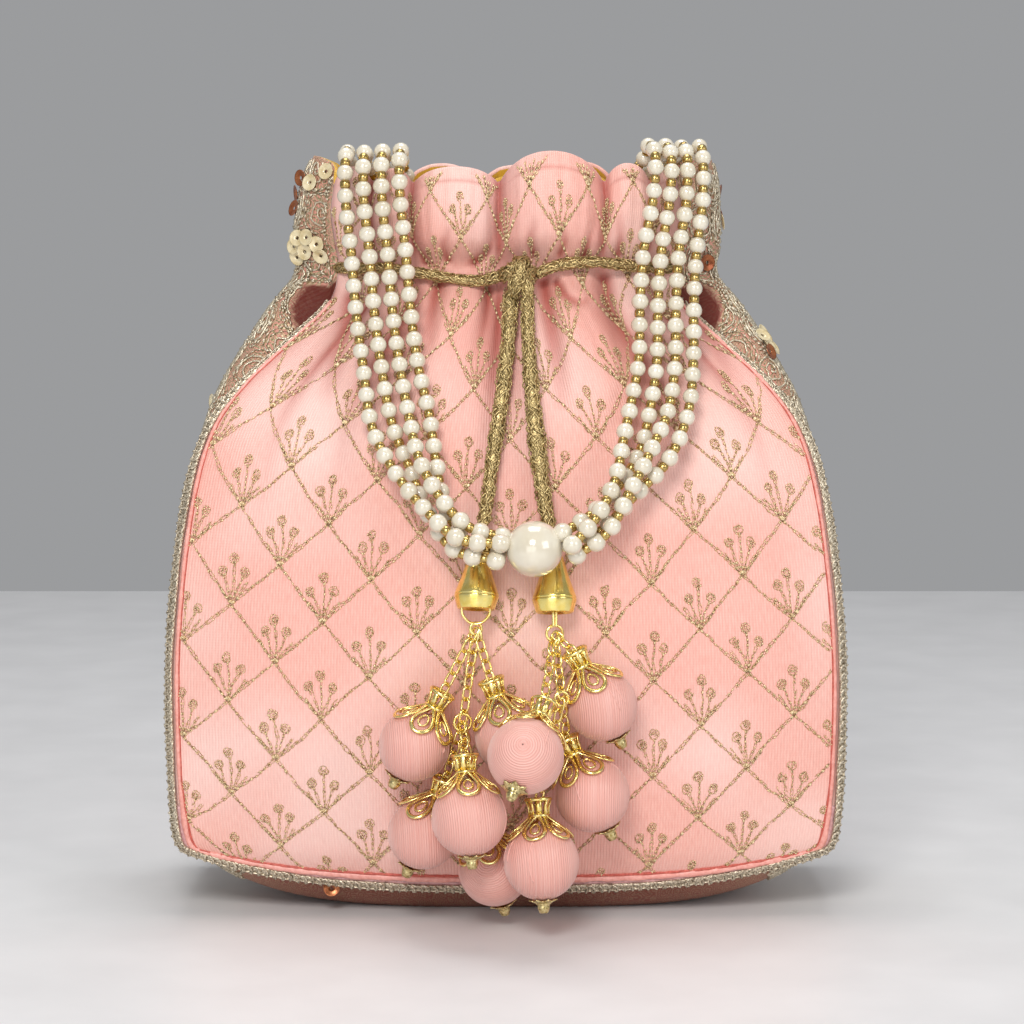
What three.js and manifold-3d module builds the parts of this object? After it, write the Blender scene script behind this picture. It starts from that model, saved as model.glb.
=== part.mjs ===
// Potli bag: a gathered silk pouch with a lace gusset, a drawstring, a pearl handle and ball tassels.
// Millimetres, +Z up, front towards -Y, standing on the flat base of the gusset at z = 0.

import * as THREE from 'three';
import { mergeVertices } from 'three/addons/utils/BufferGeometryUtils.js';
import ManifoldModule from 'manifold-3d';

const manifoldTools = await ManifoldModule();
manifoldTools.setup();

// Cloth
const WALL = 2.0;
const LINING_WALL = 1.0;
const GAP = 0.35;

// Levels of the pouch
const SEAM_FLOOR = 9.0;
const CORD_LEVEL = 191.6;
const RUFFLE_TOP = 222.0;
const NECK_HALF = 50.0;

// Bottom edge of a panel: it rises towards both corners
const CORNER_RISE = 9.0;
const CORNER_FADE = 45.0;

// Roundness of a panel across its width
const PILLOW_POWER = 2.5;

// Sections of the pouch, from the bottom seam to the mouth.
// seamHalf: half width at the seam, seamDepth: seam to the middle plane,
// bulge: how far the middle of the panel stands out past the seam,
// side: how far the gusset stands out past the seam, groove: fold of the gusset beside the seam,
// pucker: share of the gathers that shows
const SECTIONS = [
  { height: 9.0, seamHalf: 90.0, seamDepth: 31.0, bulge: 3.0, side: 5.0, groove: 0.0, pucker: 0.0 },
  { height: 12.5, seamHalf: 95.0, seamDepth: 32.0, bulge: 4.5, side: 3.5, groove: 0.0, pucker: 0.0 },
  { height: 20.0, seamHalf: 97.0, seamDepth: 33.0, bulge: 7.0, side: 2.5, groove: 0.0, pucker: 0.0 },
  { height: 45.0, seamHalf: 98.2, seamDepth: 34.0, bulge: 10.5, side: 2.2, groove: 0.0, pucker: 0.0 },
  { height: 75.0, seamHalf: 98.4, seamDepth: 34.0, bulge: 12.0, side: 2.2, groove: 0.0, pucker: 0.0 },
  { height: 105.0, seamHalf: 96.0, seamDepth: 32.5, bulge: 12.0, side: 2.2, groove: 0.0, pucker: 0.03 },
  { height: 130.0, seamHalf: 92.0, seamDepth: 29.5, bulge: 11.5, side: 2.4, groove: 0.3, pucker: 0.1 },
  { height: 146.0, seamHalf: 86.5, seamDepth: 26.5, bulge: 10.5, side: 3.5, groove: 1.5, pucker: 0.25 },
  { height: 158.0, seamHalf: 77.5, seamDepth: 23.5, bulge: 9.0, side: 7.0, groove: 4.0, pucker: 0.45 },
  { height: 170.0, seamHalf: 64.5, seamDepth: 19.5, bulge: 7.5, side: 11.0, groove: 6.0, pucker: 0.65 },
  { height: 181.0, seamHalf: 53.0, seamDepth: 15.5, bulge: 5.0, side: 13.5, groove: 5.0, pucker: 0.7 },
  { height: 191.6, seamHalf: 50.0, seamDepth: 13.0, bulge: 3.0, side: 13.0, groove: 0.5, pucker: 0.2 },
  { height: 201.0, seamHalf: 51.0, seamDepth: 14.5, bulge: 4.5, side: 13.5, groove: 0.5, pucker: 0.9 },
  { height: 212.0, seamHalf: 52.0, seamDepth: 16.0, bulge: 5.5, side: 13.0, groove: 1.5, pucker: 1.0 },
  { height: 222.0, seamHalf: 51.0, seamDepth: 16.5, bulge: 6.0, side: 11.0, groove: 2.0, pucker: 0.85 },
];

// Gathers above and below the cord. left and right are measured along the neck,
// swell: how far the gather stands out, crest: how far its top edge passes the mouth level,
// parts: columns of the wall in the gather
const FRONT_PUFFS = [
  { left: -50.0, right: -38.5, swell: 3.5, crest: -1.0, parts: 4 },
  { left: -38.5, right: -27.0, swell: 4.0, crest: -1.5, parts: 4 },
  { left: -27.0, right: -2.0, swell: 7.5, crest: -1.0, parts: 7 },
  { left: -2.0, right: 28.5, swell: 9.0, crest: 3.5, parts: 8 },
  { left: 28.5, right: 42.0, swell: 5.0, crest: 0.0, parts: 4 },
  { left: 42.0, right: 50.0, swell: 2.5, crest: -1.5, parts: 3 },
];
const BACK_PUFFS = [
  { left: -50.0, right: -31.0, swell: 5.0, crest: -1.0, parts: 4 },
  { left: -31.0, right: -8.0, swell: 7.0, crest: 0.5, parts: 4 },
  { left: -8.0, right: 13.0, swell: 6.5, crest: 0.0, parts: 4 },
  { left: 13.0, right: 33.0, swell: 6.5, crest: 1.0, parts: 4 },
  { left: 33.0, right: 50.0, swell: 4.5, crest: -1.0, parts: 4 },
];
const VALLEY_DIP = 6.0;
const ARCH_POWER = 0.75;

// Rows and columns of the walls
const BODY_ROWS = [0, 3.5, 12, 45, 85, 115, 136, 150, 162, 173, 182.6];
const RUFFLE_ROWS = [0.3, 0.65, 1];
const BASE_COLUMNS = 12;
const GUSSET_STOPS = [-1, -0.84, -0.6, 0, 0.6, 0.84, 1];

// The bottom strip of the gusset sags to the floor
const SAG = 10.6;
const SAG_POWER = 6;
const SIDE_POWER = 2;

// Folds of the gusset beside both seams, and the rise of its top edge at the mouth
const GROOVE_PLACE = 0.82;
const GROOVE_WIDTH = 0.16;
const GUSSET_CREST = 5.5;

// Lining: a smooth band inside the mouth, one row per level
const LINING_SIDES = 24;
const LINING_SQUARENESS = 2.6;
const LINING_ROWS = [
  { height: 156.0, half: 74.0, front: 28.0, back: 28.0 },
  { height: 176.0, half: 58.0, front: 19.5, back: 18.0 },
  { height: 191.6, half: 48.0, front: 13.2, back: 8.6 },
  { height: 203.0, half: 56.0, front: 16.0, back: 16.0 },
  { height: 215.5, half: 55.0, front: 18.2, back: 18.2 },
];

// Trim along the seams
const BRAID_RADIUS = 1.5;
const BRAID_SIDES = 5;
const BRAID_STAND = 0.7;
const BRAID_TOP = 173;

// Drawstring
const CORD_RADIUS = 1.9;
const CORD_SIDES = 7;
const CORD_STEPS = 33;
const CORD_ROUTE = [
  [-1.6, -23.0, 189.4], [-8.0, -21.0, 187.9], [-16.0, -20.4, 188.6], [-26.0, -19.8, 190.2],
  [-36.0, -19.0, 191.6], [-43.5, -17.6, 191.6], [-48.8, -14.4, 191.6], [-50.6, -9.6, 191.6],
  [-53.0, -4.6, 191.6], [-57.4, 1.0, 191.6], [-52.8, 6.4, 191.6], [-44.0, 8.9, 191.6], [-30.0, 10.6, 191.6],
  [0.0, 11.3, 191.6], [30.0, 10.6, 191.6], [44.0, 8.9, 191.6], [52.8, 6.4, 191.6],
  [57.4, 1.0, 191.6], [53.0, -4.6, 191.6], [50.6, -9.6, 191.6], [48.8, -14.4, 191.6], [43.5, -17.6, 191.6],
  [36.0, -19.4, 192.4], [26.0, -20.4, 193.4], [16.0, -21.2, 192.6], [8.8, -23.0, 190.0],
];
const KNOT_CENTRE = [3.6, -24.2, 189.6];
const KNOT_RING = 3.0;
const KNOT_WIRE = 1.9;
const KNOT_CORE = 3.4;

// Free tails of the drawstring, from the knot to the bells
const TAIL_STEPS = 10;
const TAIL_LEFT = [
  [1.4, -26.2, 183.8], [0.8, -32.0, 172.0], [-1.0, -38.0, 156.0], [-3.4, -42.6, 140.0],
  [-5.4, -46.2, 125.0], [-6.9, -48.2, 117.0], [-7.9, -48.4, 111.2],
];
const TAIL_RIGHT = [
  [6.2, -28.0, 183.4], [6.6, -34.8, 170.0], [7.6, -39.6, 156.0], [9.2, -43.4, 140.0],
  [11.2, -46.4, 125.0], [12.9, -48.2, 116.0], [13.9, -48.4, 110.2],
];

// Bells: the profile runs down from the top of the bell
const BELL_SIDES = 10;
const BELL_PROFILE = [
  { radius: 0.0, drop: 0.0 }, { radius: 2.5, drop: 0.0 }, { radius: 4.0, drop: 5.5 },
  { radius: 6.1, drop: 11.0 }, { radius: 6.2, drop: 12.6 }, { radius: 5.3, drop: 16.4 },
  { radius: 0.0, drop: 16.4 },
];
const BELLS = [
  { name: 'left', top: [-7.9, -48.6, 110.2], foot: [-8.6, -52.6, 94.2] },
  { name: 'right', top: [13.9, -48.6, 109.2], foot: [14.1, -52.6, 92.8] },
];

// Handle: each side carries four strings. x, y, z: middle of the band, turn: slope of the band,
// rope: 0 where the strings lie side by side and 1 where they are twisted together, twist: turns so far
const STRING_RADIUS = 2.4;
const STRING_PITCH = 5.3;
const ROPE_RADIUS = 3.9;
const ROPE_SWELL = 0.3;
const STRING_SIDES = 7;
const STRING_STEPS = 14;
const HANDLE_LEFT = [
  { x: -35.0, y: -4.6, z: 203.0, turn: -14, rope: 0.0, twist: 0.0 },
  { x: -36.4, y: -7.6, z: 215.0, turn: -12, rope: 0.0, twist: 0.0 },
  { x: -38.6, y: -14.2, z: 223.0, turn: -8, rope: 0.0, twist: 0.0 },
  { x: -38.8, y: -21.0, z: 226.0, turn: -6, rope: 0.0, twist: 0.0 },
  { x: -39.0, y: -27.4, z: 222.6, turn: -4, rope: 0.0, twist: 0.0 },
  { x: -38.8, y: -29.8, z: 212.0, turn: 0, rope: 0.0, twist: 0.0 },
  { x: -37.2, y: -30.6, z: 196.0, turn: 0, rope: 0.0, twist: 0.0 },
  { x: -35.8, y: -33.4, z: 180.0, turn: 0, rope: 0.0, twist: 0.0 },
  { x: -33.4, y: -38.6, z: 163.0, turn: 0, rope: 0.0, twist: 0.0 },
  { x: -30.4, y: -43.6, z: 148.0, turn: 0, rope: 0.15, twist: 0.0 },
  { x: -26.2, y: -49.4, z: 136.0, turn: 0, rope: 0.7, twist: 0.02 },
  { x: -20.4, y: -54.6, z: 124.4, turn: 0, rope: 1.0, twist: 0.1 },
  { x: -12.4, y: -58.4, z: 115.4, turn: 0, rope: 1.0, twist: 0.2 },
  { x: -1.0, y: -58.8, z: 112.4, turn: 0, rope: 1.0, twist: 0.32 },
];
const HANDLE_RIGHT = [
  { x: 41.0, y: -3.4, z: 203.0, turn: 24, rope: 0.0, twist: 0.0 },
  { x: 42.6, y: -6.0, z: 215.0, turn: 26, rope: 0.0, twist: 0.0 },
  { x: 48.2, y: -11.6, z: 224.6, turn: 30, rope: 0.0, twist: 0.0 },
  { x: 49.8, y: -18.4, z: 227.4, turn: 30, rope: 0.0, twist: 0.0 },
  { x: 50.8, y: -24.8, z: 223.6, turn: 28, rope: 0.0, twist: 0.0 },
  { x: 50.4, y: -27.0, z: 212.0, turn: 22, rope: 0.0, twist: 0.0 },
  { x: 48.0, y: -29.0, z: 196.0, turn: 12, rope: 0.0, twist: 0.0 },
  { x: 47.0, y: -32.6, z: 180.0, turn: 6, rope: 0.0, twist: 0.0 },
  { x: 46.6, y: -37.4, z: 165.0, turn: 2, rope: 0.0, twist: 0.0 },
  { x: 44.6, y: -42.2, z: 152.0, turn: 0, rope: 0.1, twist: 0.0 },
  { x: 40.4, y: -47.8, z: 140.0, turn: 0, rope: 0.6, twist: 0.02 },
  { x: 34.0, y: -53.2, z: 129.4, turn: 0, rope: 1.0, twist: 0.1 },
  { x: 26.4, y: -57.4, z: 119.4, turn: 0, rope: 1.0, twist: 0.2 },
  { x: 18.2, y: -59.0, z: 114.0, turn: 0, rope: 1.0, twist: 0.3 },
];
const PEARL_CENTRE = [8.2, -59.0, 112.6];
const PEARL_RADIUS = 8.1;
const PEARL_SIDES = 12;

// Ball tassels. x, z: middle of the ball; lean: sideways slope of the ball's axis in degrees,
// tip: slope away from the viewer; clear: room kept to the bag and to the balls behind it
const BALL_SIDES = 10;
const BALL_BANDS = 6;
const BALLS = [
  { name: '1', side: 'left', hangs: 'bell', x: -26.4, z: 55.1, radius: 10.3, lean: 28, tip: 0, clear: 1.0 },
  { name: '3', side: 'left', hangs: 'ring', x: -24.0, z: 28.6, radius: 10.3, lean: 22, tip: -4, clear: 1.0 },
  { name: '5', side: 'left', hangs: 'bell', x: 1.4, z: 57.8, radius: 10.3, lean: -19, tip: 2, clear: 1.0 },
  { name: '6', side: 'right', hangs: 'bell', x: 27.6, z: 67.0, radius: 10.3, lean: -27, tip: 0, clear: 1.0 },
  { name: '9', side: 'left', hangs: 'ring', x: -3.4, z: 17.0, radius: 10.3, lean: -14, tip: -6, clear: 1.0 },
  { name: '7', side: 'right', hangs: 'ring', x: 25.0, z: 40.8, radius: 10.8, lean: -25, tip: 2, clear: 2.0 },
  { name: '2', side: 'left', hangs: 'ring', x: -10.4, z: 36.6, radius: 10.8, lean: -4, tip: 12, clear: 1.6 },
  { name: '4', side: 'right', hangs: 'bell', x: 5.6, z: 56.6, radius: 10.8, lean: 22, tip: 38, clear: 2.6 },
  { name: '8', side: 'right', hangs: 'ring', x: 10.2, z: 23.4, radius: 10.8, lean: -3, tip: 12, clear: 1.6 },
];

// Filigree cap of a ball: one wire that goes round as open petals and rises to the points of a collar
const PETALS = 6;
const PETAL_WIRE = 0.6;
const PETAL_REACH = 8.4;
const PETAL_SPREAD = 13;
const WIRE_SIDES = 3;
const COLLAR_RADIUS = 3.0;
const COLLAR_MOUTH = 2.5;
const COLLAR_FOOT = 3.4;
const COLLAR_TOP = 7.4;
const COLLAR_SPREAD = 21;
const CAP_STAND = 0.8;

// Star tip of a ball
const TIP_WIDE = 1.9;
const TIP_NARROW = 0.7;
const TIP_LENGTH = 2.8;

// Chains, as plain tubes from a ring under each bell to the caps
const CHAIN_RADIUS = 1.1;
const CHAIN_SIDES = 5;
const CHAIN_STEPS = 1;
const HUB_DROP = 5.4;
const CHAIN_SEAT = 1.0;
const CHAIN_RINGS = {
  left: [-12.4, -57.0, 62.0],
  right: [16.0, -63.0, 70.0],
};

// Colours
const COLOURS = {
  silk: 0xf3aaa0,
  lace: 0xb9a06a,
  lining: 0xd9a21b,
  braid: 0xc2a672,
  cord: 0xb39a5e,
  pearl: 0xf3ecdb,
  gold: 0xd9a93a,
  thread: 0xeda59c,
};
const METAL_NAMES = ['gold'];

// Smooth interpolation through one column of a table
function readTable(rows, column, at) {
  const last = rows.length - 1;
  if (at <= rows[0].height) {
    return rows[0][column];
  }
  if (at >= rows[last].height) {
    return rows[last][column];
  }
  let i = 0;
  while (at > rows[i + 1].height) {
    i += 1;
  }
  const slope = (a, b) => (rows[b][column] - rows[a][column]) / (rows[b].height - rows[a].height);
  const span = rows[i + 1].height - rows[i].height;
  const t = (at - rows[i].height) / span;
  const before = i > 0 ? slope(i - 1, i + 1) : slope(i, i + 1);
  const after = i + 2 <= last ? slope(i, i + 2) : slope(i, i + 1);
  const t2 = t * t;
  const t3 = t2 * t;
  return (2 * t3 - 3 * t2 + 1) * rows[i][column] + (t3 - 2 * t2 + t) * span * before
    + (3 * t2 - 2 * t3) * rows[i + 1][column] + (t3 - t2) * span * after;
}

// The gather that a place along the neck belongs to, and the arch of that gather there
function gatherAt(puffs, u) {
  const place = Math.min(Math.max(u * NECK_HALF, -NECK_HALF), NECK_HALF);
  const puff = puffs.find((p) => place <= p.right) ?? puffs[puffs.length - 1];
  const t = (place - puff.left) / (puff.right - puff.left);
  const arch = Math.pow(Math.max(Math.sin(Math.PI * t), 0), ARCH_POWER);
  return { puff, arch };
}

// Distance from the middle plane to the outside of a panel
function panelDepth(puffs, u, height) {
  const pillow = 1 - Math.pow(Math.abs(u), PILLOW_POWER);
  const { puff, arch } = gatherAt(puffs, u);
  return readTable(SECTIONS, 'seamDepth', height) + readTable(SECTIONS, 'bulge', height) * pillow
    + readTable(SECTIONS, 'pucker', height) * puff.swell * arch;
}

// A point on the outside of a panel; facing is -1 for the front and 1 for the back
function panelPoint(puffs, facing, u, row) {
  let height = SEAM_FLOOR + row.rise;
  let z = height;
  if (row.ruffle > 0) {
    const { puff, arch } = gatherAt(puffs, u);
    const top = RUFFLE_TOP - VALLEY_DIP + (VALLEY_DIP + puff.crest) * arch;
    height = CORD_LEVEL + (RUFFLE_TOP - CORD_LEVEL) * row.ruffle;
    z = CORD_LEVEL + (top - CORD_LEVEL) * row.ruffle;
  } else {
    const fade = Math.max(0, 1 - row.rise / CORNER_FADE);
    z += CORNER_RISE * Math.pow(Math.abs(u), 3) * fade * fade;
  }
  const x = u * readTable(SECTIONS, 'seamHalf', height);
  return new THREE.Vector3(x, facing * panelDepth(puffs, u, height), z);
}

const PANEL_ROWS = [
  ...BODY_ROWS.map((rise) => ({ rise, ruffle: 0 })),
  ...RUFFLE_ROWS.map((ruffle) => ({ rise: 0, ruffle })),
];

// Outward normals of a grid of points, worked out from the neighbours
function gridNormals(grid) {
  const rows = grid.length;
  const columns = grid[0].length;
  return grid.map((line, r) => line.map((point, c) => {
    const along = line[Math.min(c + 1, columns - 1)].clone().sub(line[Math.max(c - 1, 0)]);
    const up = grid[Math.min(r + 1, rows - 1)][c].clone().sub(grid[Math.max(r - 1, 0)][c]);
    return along.cross(up).normalize();
  }));
}

// A closed wall between an outer grid and an inner grid of points
function wallBetween(outer, inner) {
  const rows = outer.length;
  const columns = outer[0].length;
  const positions = [];
  const triangles = [];
  [...outer, ...inner].forEach((line) => line.forEach((p) => positions.push(p.x, p.y, p.z)));
  const outside = (r, c) => r * columns + c;
  const inside = (r, c) => rows * columns + r * columns + c;
  const quad = (a, b, c, d) => triangles.push(a, b, c, a, c, d);
  for (let r = 0; r + 1 < rows; r += 1) {
    for (let c = 0; c + 1 < columns; c += 1) {
      quad(outside(r, c), outside(r, c + 1), outside(r + 1, c + 1), outside(r + 1, c));
      quad(inside(r, c), inside(r + 1, c), inside(r + 1, c + 1), inside(r, c + 1));
    }
    quad(outside(r, 0), outside(r + 1, 0), inside(r + 1, 0), inside(r, 0));
    const last = columns - 1;
    quad(outside(r, last), inside(r, last), inside(r + 1, last), outside(r + 1, last));
  }
  for (let c = 0; c + 1 < columns; c += 1) {
    const top = rows - 1;
    quad(outside(0, c), inside(0, c), inside(0, c + 1), outside(0, c + 1));
    quad(outside(top, c), outside(top, c + 1), inside(top, c + 1), inside(top, c));
  }
  const geometry = new THREE.BufferGeometry();
  geometry.setAttribute('position', new THREE.Float32BufferAttribute(positions, 3));
  geometry.setIndex(triangles);
  return geometry;
}

// A cloth wall of even thickness behind a grid of outside points
function clothWall(grid, thickness) {
  const normals = gridNormals(grid);
  const behind = (p, r, c) => p.clone().addScaledVector(normals[r][c], -thickness);
  const inner = grid.map((line, r) => line.map((p, c) => behind(p, r, c)));
  return wallBetween(grid, inner);
}

// Columns follow the gathers, from left to right, or from right to left for the back
function panelGrid(puffs, facing) {
  const columns = [-1];
  puffs.forEach((puff) => {
    for (let c = 1; c <= puff.parts; c += 1) {
      columns.push((puff.left + (puff.right - puff.left) * c / puff.parts) / NECK_HALF);
    }
  });
  if (facing > 0) {
    columns.reverse();
  }
  return PANEL_ROWS.map((row) => columns.map((u) => panelPoint(puffs, facing, u, row)));
}

// The seam round a panel: down the left edge, along the bottom and up the right edge
function seamPlaces() {
  const edge = PANEL_ROWS.slice(1);
  const places = [];
  [...edge].reverse().forEach((row) => places.push({ u: -1, row, floor: 0 }));
  for (let c = 0; c <= BASE_COLUMNS; c += 1) {
    const u = 2 * c / BASE_COLUMNS - 1;
    places.push({ u, row: PANEL_ROWS[0], floor: 1 - Math.pow(Math.abs(u), 6) });
  }
  edge.forEach((row) => places.push({ u: 1, row, floor: 0 }));
  return places;
}

function heightOf(row) {
  return row.ruffle > 0 ? CORD_LEVEL + (RUFFLE_TOP - CORD_LEVEL) * row.ruffle : SEAM_FLOOR + row.rise;
}

// Directions that point out of the bag along the seam, in the plane of the panel
function seamNormals(points) {
  return points.map((point, i) => {
    const ahead = points[Math.min(i + 1, points.length - 1)];
    const behind = points[Math.max(i - 1, 0)];
    const along = new THREE.Vector3(ahead.x - behind.x, 0, ahead.z - behind.z).normalize();
    return new THREE.Vector3(along.z, 0, -along.x);
  });
}

// Outside points of the gusset, one row per place on the seam and one column per stop across it
function gussetGrid() {
  const places = seamPlaces();
  const fronts = places.map((p) => panelPoint(FRONT_PUFFS, -1, p.u, p.row));
  const backs = places.map((p) => panelPoint(BACK_PUFFS, 1, p.u, p.row));
  const normals = seamNormals(fronts);
  return places.map((place, i) => {
    const side = readTable(SECTIONS, 'side', heightOf(place.row));
    const reach = side + (SAG - side) * place.floor;
    const power = SIDE_POWER + (SAG_POWER - SIDE_POWER) * place.floor;
    const front = fronts[i].y + WALL + GAP;
    const back = backs[i].y - WALL - GAP;
    const groove = readTable(SECTIONS, 'groove', heightOf(place.row));
    return GUSSET_STOPS.map((t) => {
      const fold = Math.exp(-Math.pow((Math.abs(t) - GROOVE_PLACE) / GROOVE_WIDTH, 2));
      const edge = 1 - Math.pow(t, 8);
      const out = reach * (1 - Math.pow(Math.abs(t), power)) - groove * fold * edge;
      const crest = GUSSET_CREST * place.row.ruffle * (1 - t * t);
      const share = (t + 1) / 2;
      const x = fronts[i].x + (backs[i].x - fronts[i].x) * share + normals[i].x * out;
      const z = fronts[i].z + (backs[i].z - fronts[i].z) * share + normals[i].z * out + crest;
      return new THREE.Vector3(x, front + (back - front) * share, Math.max(z, 0));
    });
  });
}

// Lining: a smooth open band, deeper at the front than at the back where the cord runs behind it
function liningGeometry() {
  const ring = (row, inset) => {
    const line = [];
    for (let i = 0; i <= LINING_SIDES; i += 1) {
      const angle = -2 * Math.PI * i / LINING_SIDES;
      const c = Math.cos(angle);
      const s = Math.sin(angle);
      const x = Math.sign(c) * Math.pow(Math.abs(c), 2 / LINING_SQUARENESS) * (row.half - inset);
      const depth = s < 0 ? row.front : row.back;
      const y = Math.sign(s) * Math.pow(Math.abs(s), 2 / LINING_SQUARENESS) * (depth - inset);
      line.push(new THREE.Vector3(x, y, row.height));
    }
    return line.reverse();
  };
  const outer = LINING_ROWS.map((row) => ring(row, 0));
  const inner = LINING_ROWS.map((row) => ring(row, LINING_WALL));
  return closeRound(outer, inner);
}

// A wall between two stacks of closed rings
function closeRound(outer, inner) {
  const rows = outer.length;
  const count = outer[0].length - 1;
  const positions = [];
  const triangles = [];
  [outer, inner].forEach((stack) => stack.forEach((line) => {
    line.slice(0, count).forEach((p) => positions.push(p.x, p.y, p.z));
  }));
  const outside = (r, c) => r * count + (c % count);
  const inside = (r, c) => rows * count + r * count + (c % count);
  const quad = (a, b, c, d) => triangles.push(a, b, c, a, c, d);
  for (let c = 0; c < count; c += 1) {
    for (let r = 0; r + 1 < rows; r += 1) {
      quad(outside(r, c), outside(r, c + 1), outside(r + 1, c + 1), outside(r + 1, c));
      quad(inside(r, c), inside(r + 1, c), inside(r + 1, c + 1), inside(r, c + 1));
    }
    quad(outside(0, c), inside(0, c), inside(0, c + 1), outside(0, c + 1));
    quad(outside(rows - 1, c), outside(rows - 1, c + 1), inside(rows - 1, c + 1), inside(rows - 1, c));
  }
  const geometry = new THREE.BufferGeometry();
  geometry.setAttribute('position', new THREE.Float32BufferAttribute(positions, 3));
  geometry.setIndex(triangles);
  return geometry;
}

// A round rod along a list of points
function rod(points, radius, sides, steps) {
  const shape = new THREE.Shape();
  for (let i = 0; i < sides; i += 1) {
    const angle = 2 * Math.PI * (i + 0.5) / sides;
    const x = radius * Math.cos(angle);
    const y = radius * Math.sin(angle);
    if (i === 0) {
      shape.moveTo(x, y);
    } else {
      shape.lineTo(x, y);
    }
  }
  shape.closePath();
  const curve = new THREE.CatmullRomCurve3(points.map((p) => (p.isVector3 ? p : new THREE.Vector3(...p))));
  const options = { steps, bevelEnabled: false, extrudePath: curve, curveSegments: 1 };
  return new THREE.ExtrudeGeometry(shape, options);
}

// A trim with one ring of corners at each point of a seam
function trim(points, radius, sides) {
  const positions = [];
  const triangles = [];
  const last = points.length - 1;
  let side = new THREE.Vector3(0, 1, 0);
  points.forEach((p, i) => {
    const ahead = points[Math.min(i + 1, last)];
    const behind = points[Math.max(i - 1, 0)];
    const along = new THREE.Vector3().subVectors(ahead, behind).normalize();
    side = side.clone().addScaledVector(along, -side.dot(along)).normalize();
    const up = new THREE.Vector3().crossVectors(along, side);
    for (let k = 0; k < sides; k += 1) {
      const angle = 2 * Math.PI * k / sides;
      const q = p.clone().addScaledVector(side, radius * Math.cos(angle));
      q.addScaledVector(up, radius * Math.sin(angle));
      positions.push(q.x, q.y, q.z);
    }
  });
  for (let k = 0; k < sides; k += 1) {
    const next = (k + 1) % sides;
    for (let i = 0; i < last; i += 1) {
      const a = i * sides;
      const b = a + sides;
      triangles.push(a + k, a + next, b + next, a + k, b + next, b + k);
    }
    if (k > 0 && next > 0) {
      const end = last * sides;
      triangles.push(0, next, k, end, end + k, end + next);
    }
  }
  const geometry = new THREE.BufferGeometry();
  geometry.setAttribute('position', new THREE.Float32BufferAttribute(positions, 3));
  geometry.setIndex(triangles);
  return geometry;
}

// Solids for joins and cuts
function solidOf(geometry) {
  const plain = new THREE.BufferGeometry();
  plain.setAttribute('position', geometry.getAttribute('position').clone());
  if (geometry.index) {
    plain.setIndex(geometry.index.clone());
  }
  const merged = mergeVertices(plain, 1e-4);
  return new manifoldTools.Manifold(new manifoldTools.Mesh({
    numProp: 3,
    vertProperties: new Float32Array(merged.getAttribute('position').array),
    triVerts: new Uint32Array(merged.index.array),
  }));
}

function geometryOf(solid) {
  const mesh = solid.getMesh();
  const positions = [];
  for (let i = 0; i < mesh.numVert; i += 1) {
    positions.push(...mesh.vertProperties.slice(i * mesh.numProp, i * mesh.numProp + 3));
  }
  const geometry = new THREE.BufferGeometry();
  geometry.setAttribute('position', new THREE.Float32BufferAttribute(positions, 3));
  geometry.setIndex(Array.from(mesh.triVerts));
  return geometry;
}

function joined(geometries) {
  return geometryOf(manifoldTools.Manifold.union(geometries.map(solidOf)));
}

function cutBy(geometry, tool) {
  return geometryOf(solidOf(geometry).subtract(solidOf(tool)));
}

// Braid that lies on the outer corner of a seam, below the casing
function braidGeometry(puffs, facing) {
  const places = seamPlaces().filter((p) => p.row.ruffle === 0 && p.row.rise <= BRAID_TOP);
  const edge = places.map((p) => panelPoint(puffs, facing, p.u, p.row));
  const normals = seamNormals(edge);
  const stand = BRAID_RADIUS + BRAID_STAND;
  const path = edge.map((p, i) => {
    const side = readTable(SECTIONS, 'side', heightOf(places[i].row));
    const lift = new THREE.Vector3(0, facing * (1 + side / 6), 0).add(normals[i]).normalize();
    return p.clone().addScaledVector(lift, stand);
  });
  return trim(path, BRAID_RADIUS, BRAID_SIDES);
}

// Turns a geometry that points along +Y so that it points along a direction, and moves it
function placed(geometry, direction, origin) {
  const turn = new THREE.Quaternion().setFromUnitVectors(new THREE.Vector3(0, 1, 0), direction);
  geometry.applyQuaternion(turn);
  geometry.translate(origin.x, origin.y, origin.z);
  return geometry;
}

function knotGeometry() {
  const wrap = new THREE.TorusGeometry(KNOT_RING, KNOT_WIRE, 6, 10);
  wrap.rotateY(Math.PI / 2);
  wrap.rotateZ(0.25);
  const core = new THREE.SphereGeometry(KNOT_CORE, 8, 5);
  core.scale(1.0, 0.85, 0.95);
  const knot = joined([wrap, core]);
  knot.translate(...KNOT_CENTRE);
  return knot;
}

function bellGeometry(bell) {
  const top = new THREE.Vector3(...bell.top);
  const foot = new THREE.Vector3(...bell.foot);
  const profile = BELL_PROFILE.map((p) => new THREE.Vector2(p.radius, -p.drop)).reverse();
  const geometry = new THREE.LatheGeometry(profile, BELL_SIDES);
  return placed(geometry, top.clone().sub(foot).normalize(), top);
}

// Place of one string of the handle across its band, before the band is turned
function stringOffset(index, rope) {
  const flat = [(index - 1.5) * STRING_PITCH, 0];
  const around = [[-1, 0], [0, 1], [0, -1], [1, 0]][index];
  const swell = 1 + ROPE_SWELL * 4 * rope * (1 - rope);
  return [
    ((1 - rope) * flat[0] + rope * ROPE_RADIUS * around[0]) * swell,
    ((1 - rope) * flat[1] + rope * ROPE_RADIUS * around[1]) * swell,
  ];
}

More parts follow.
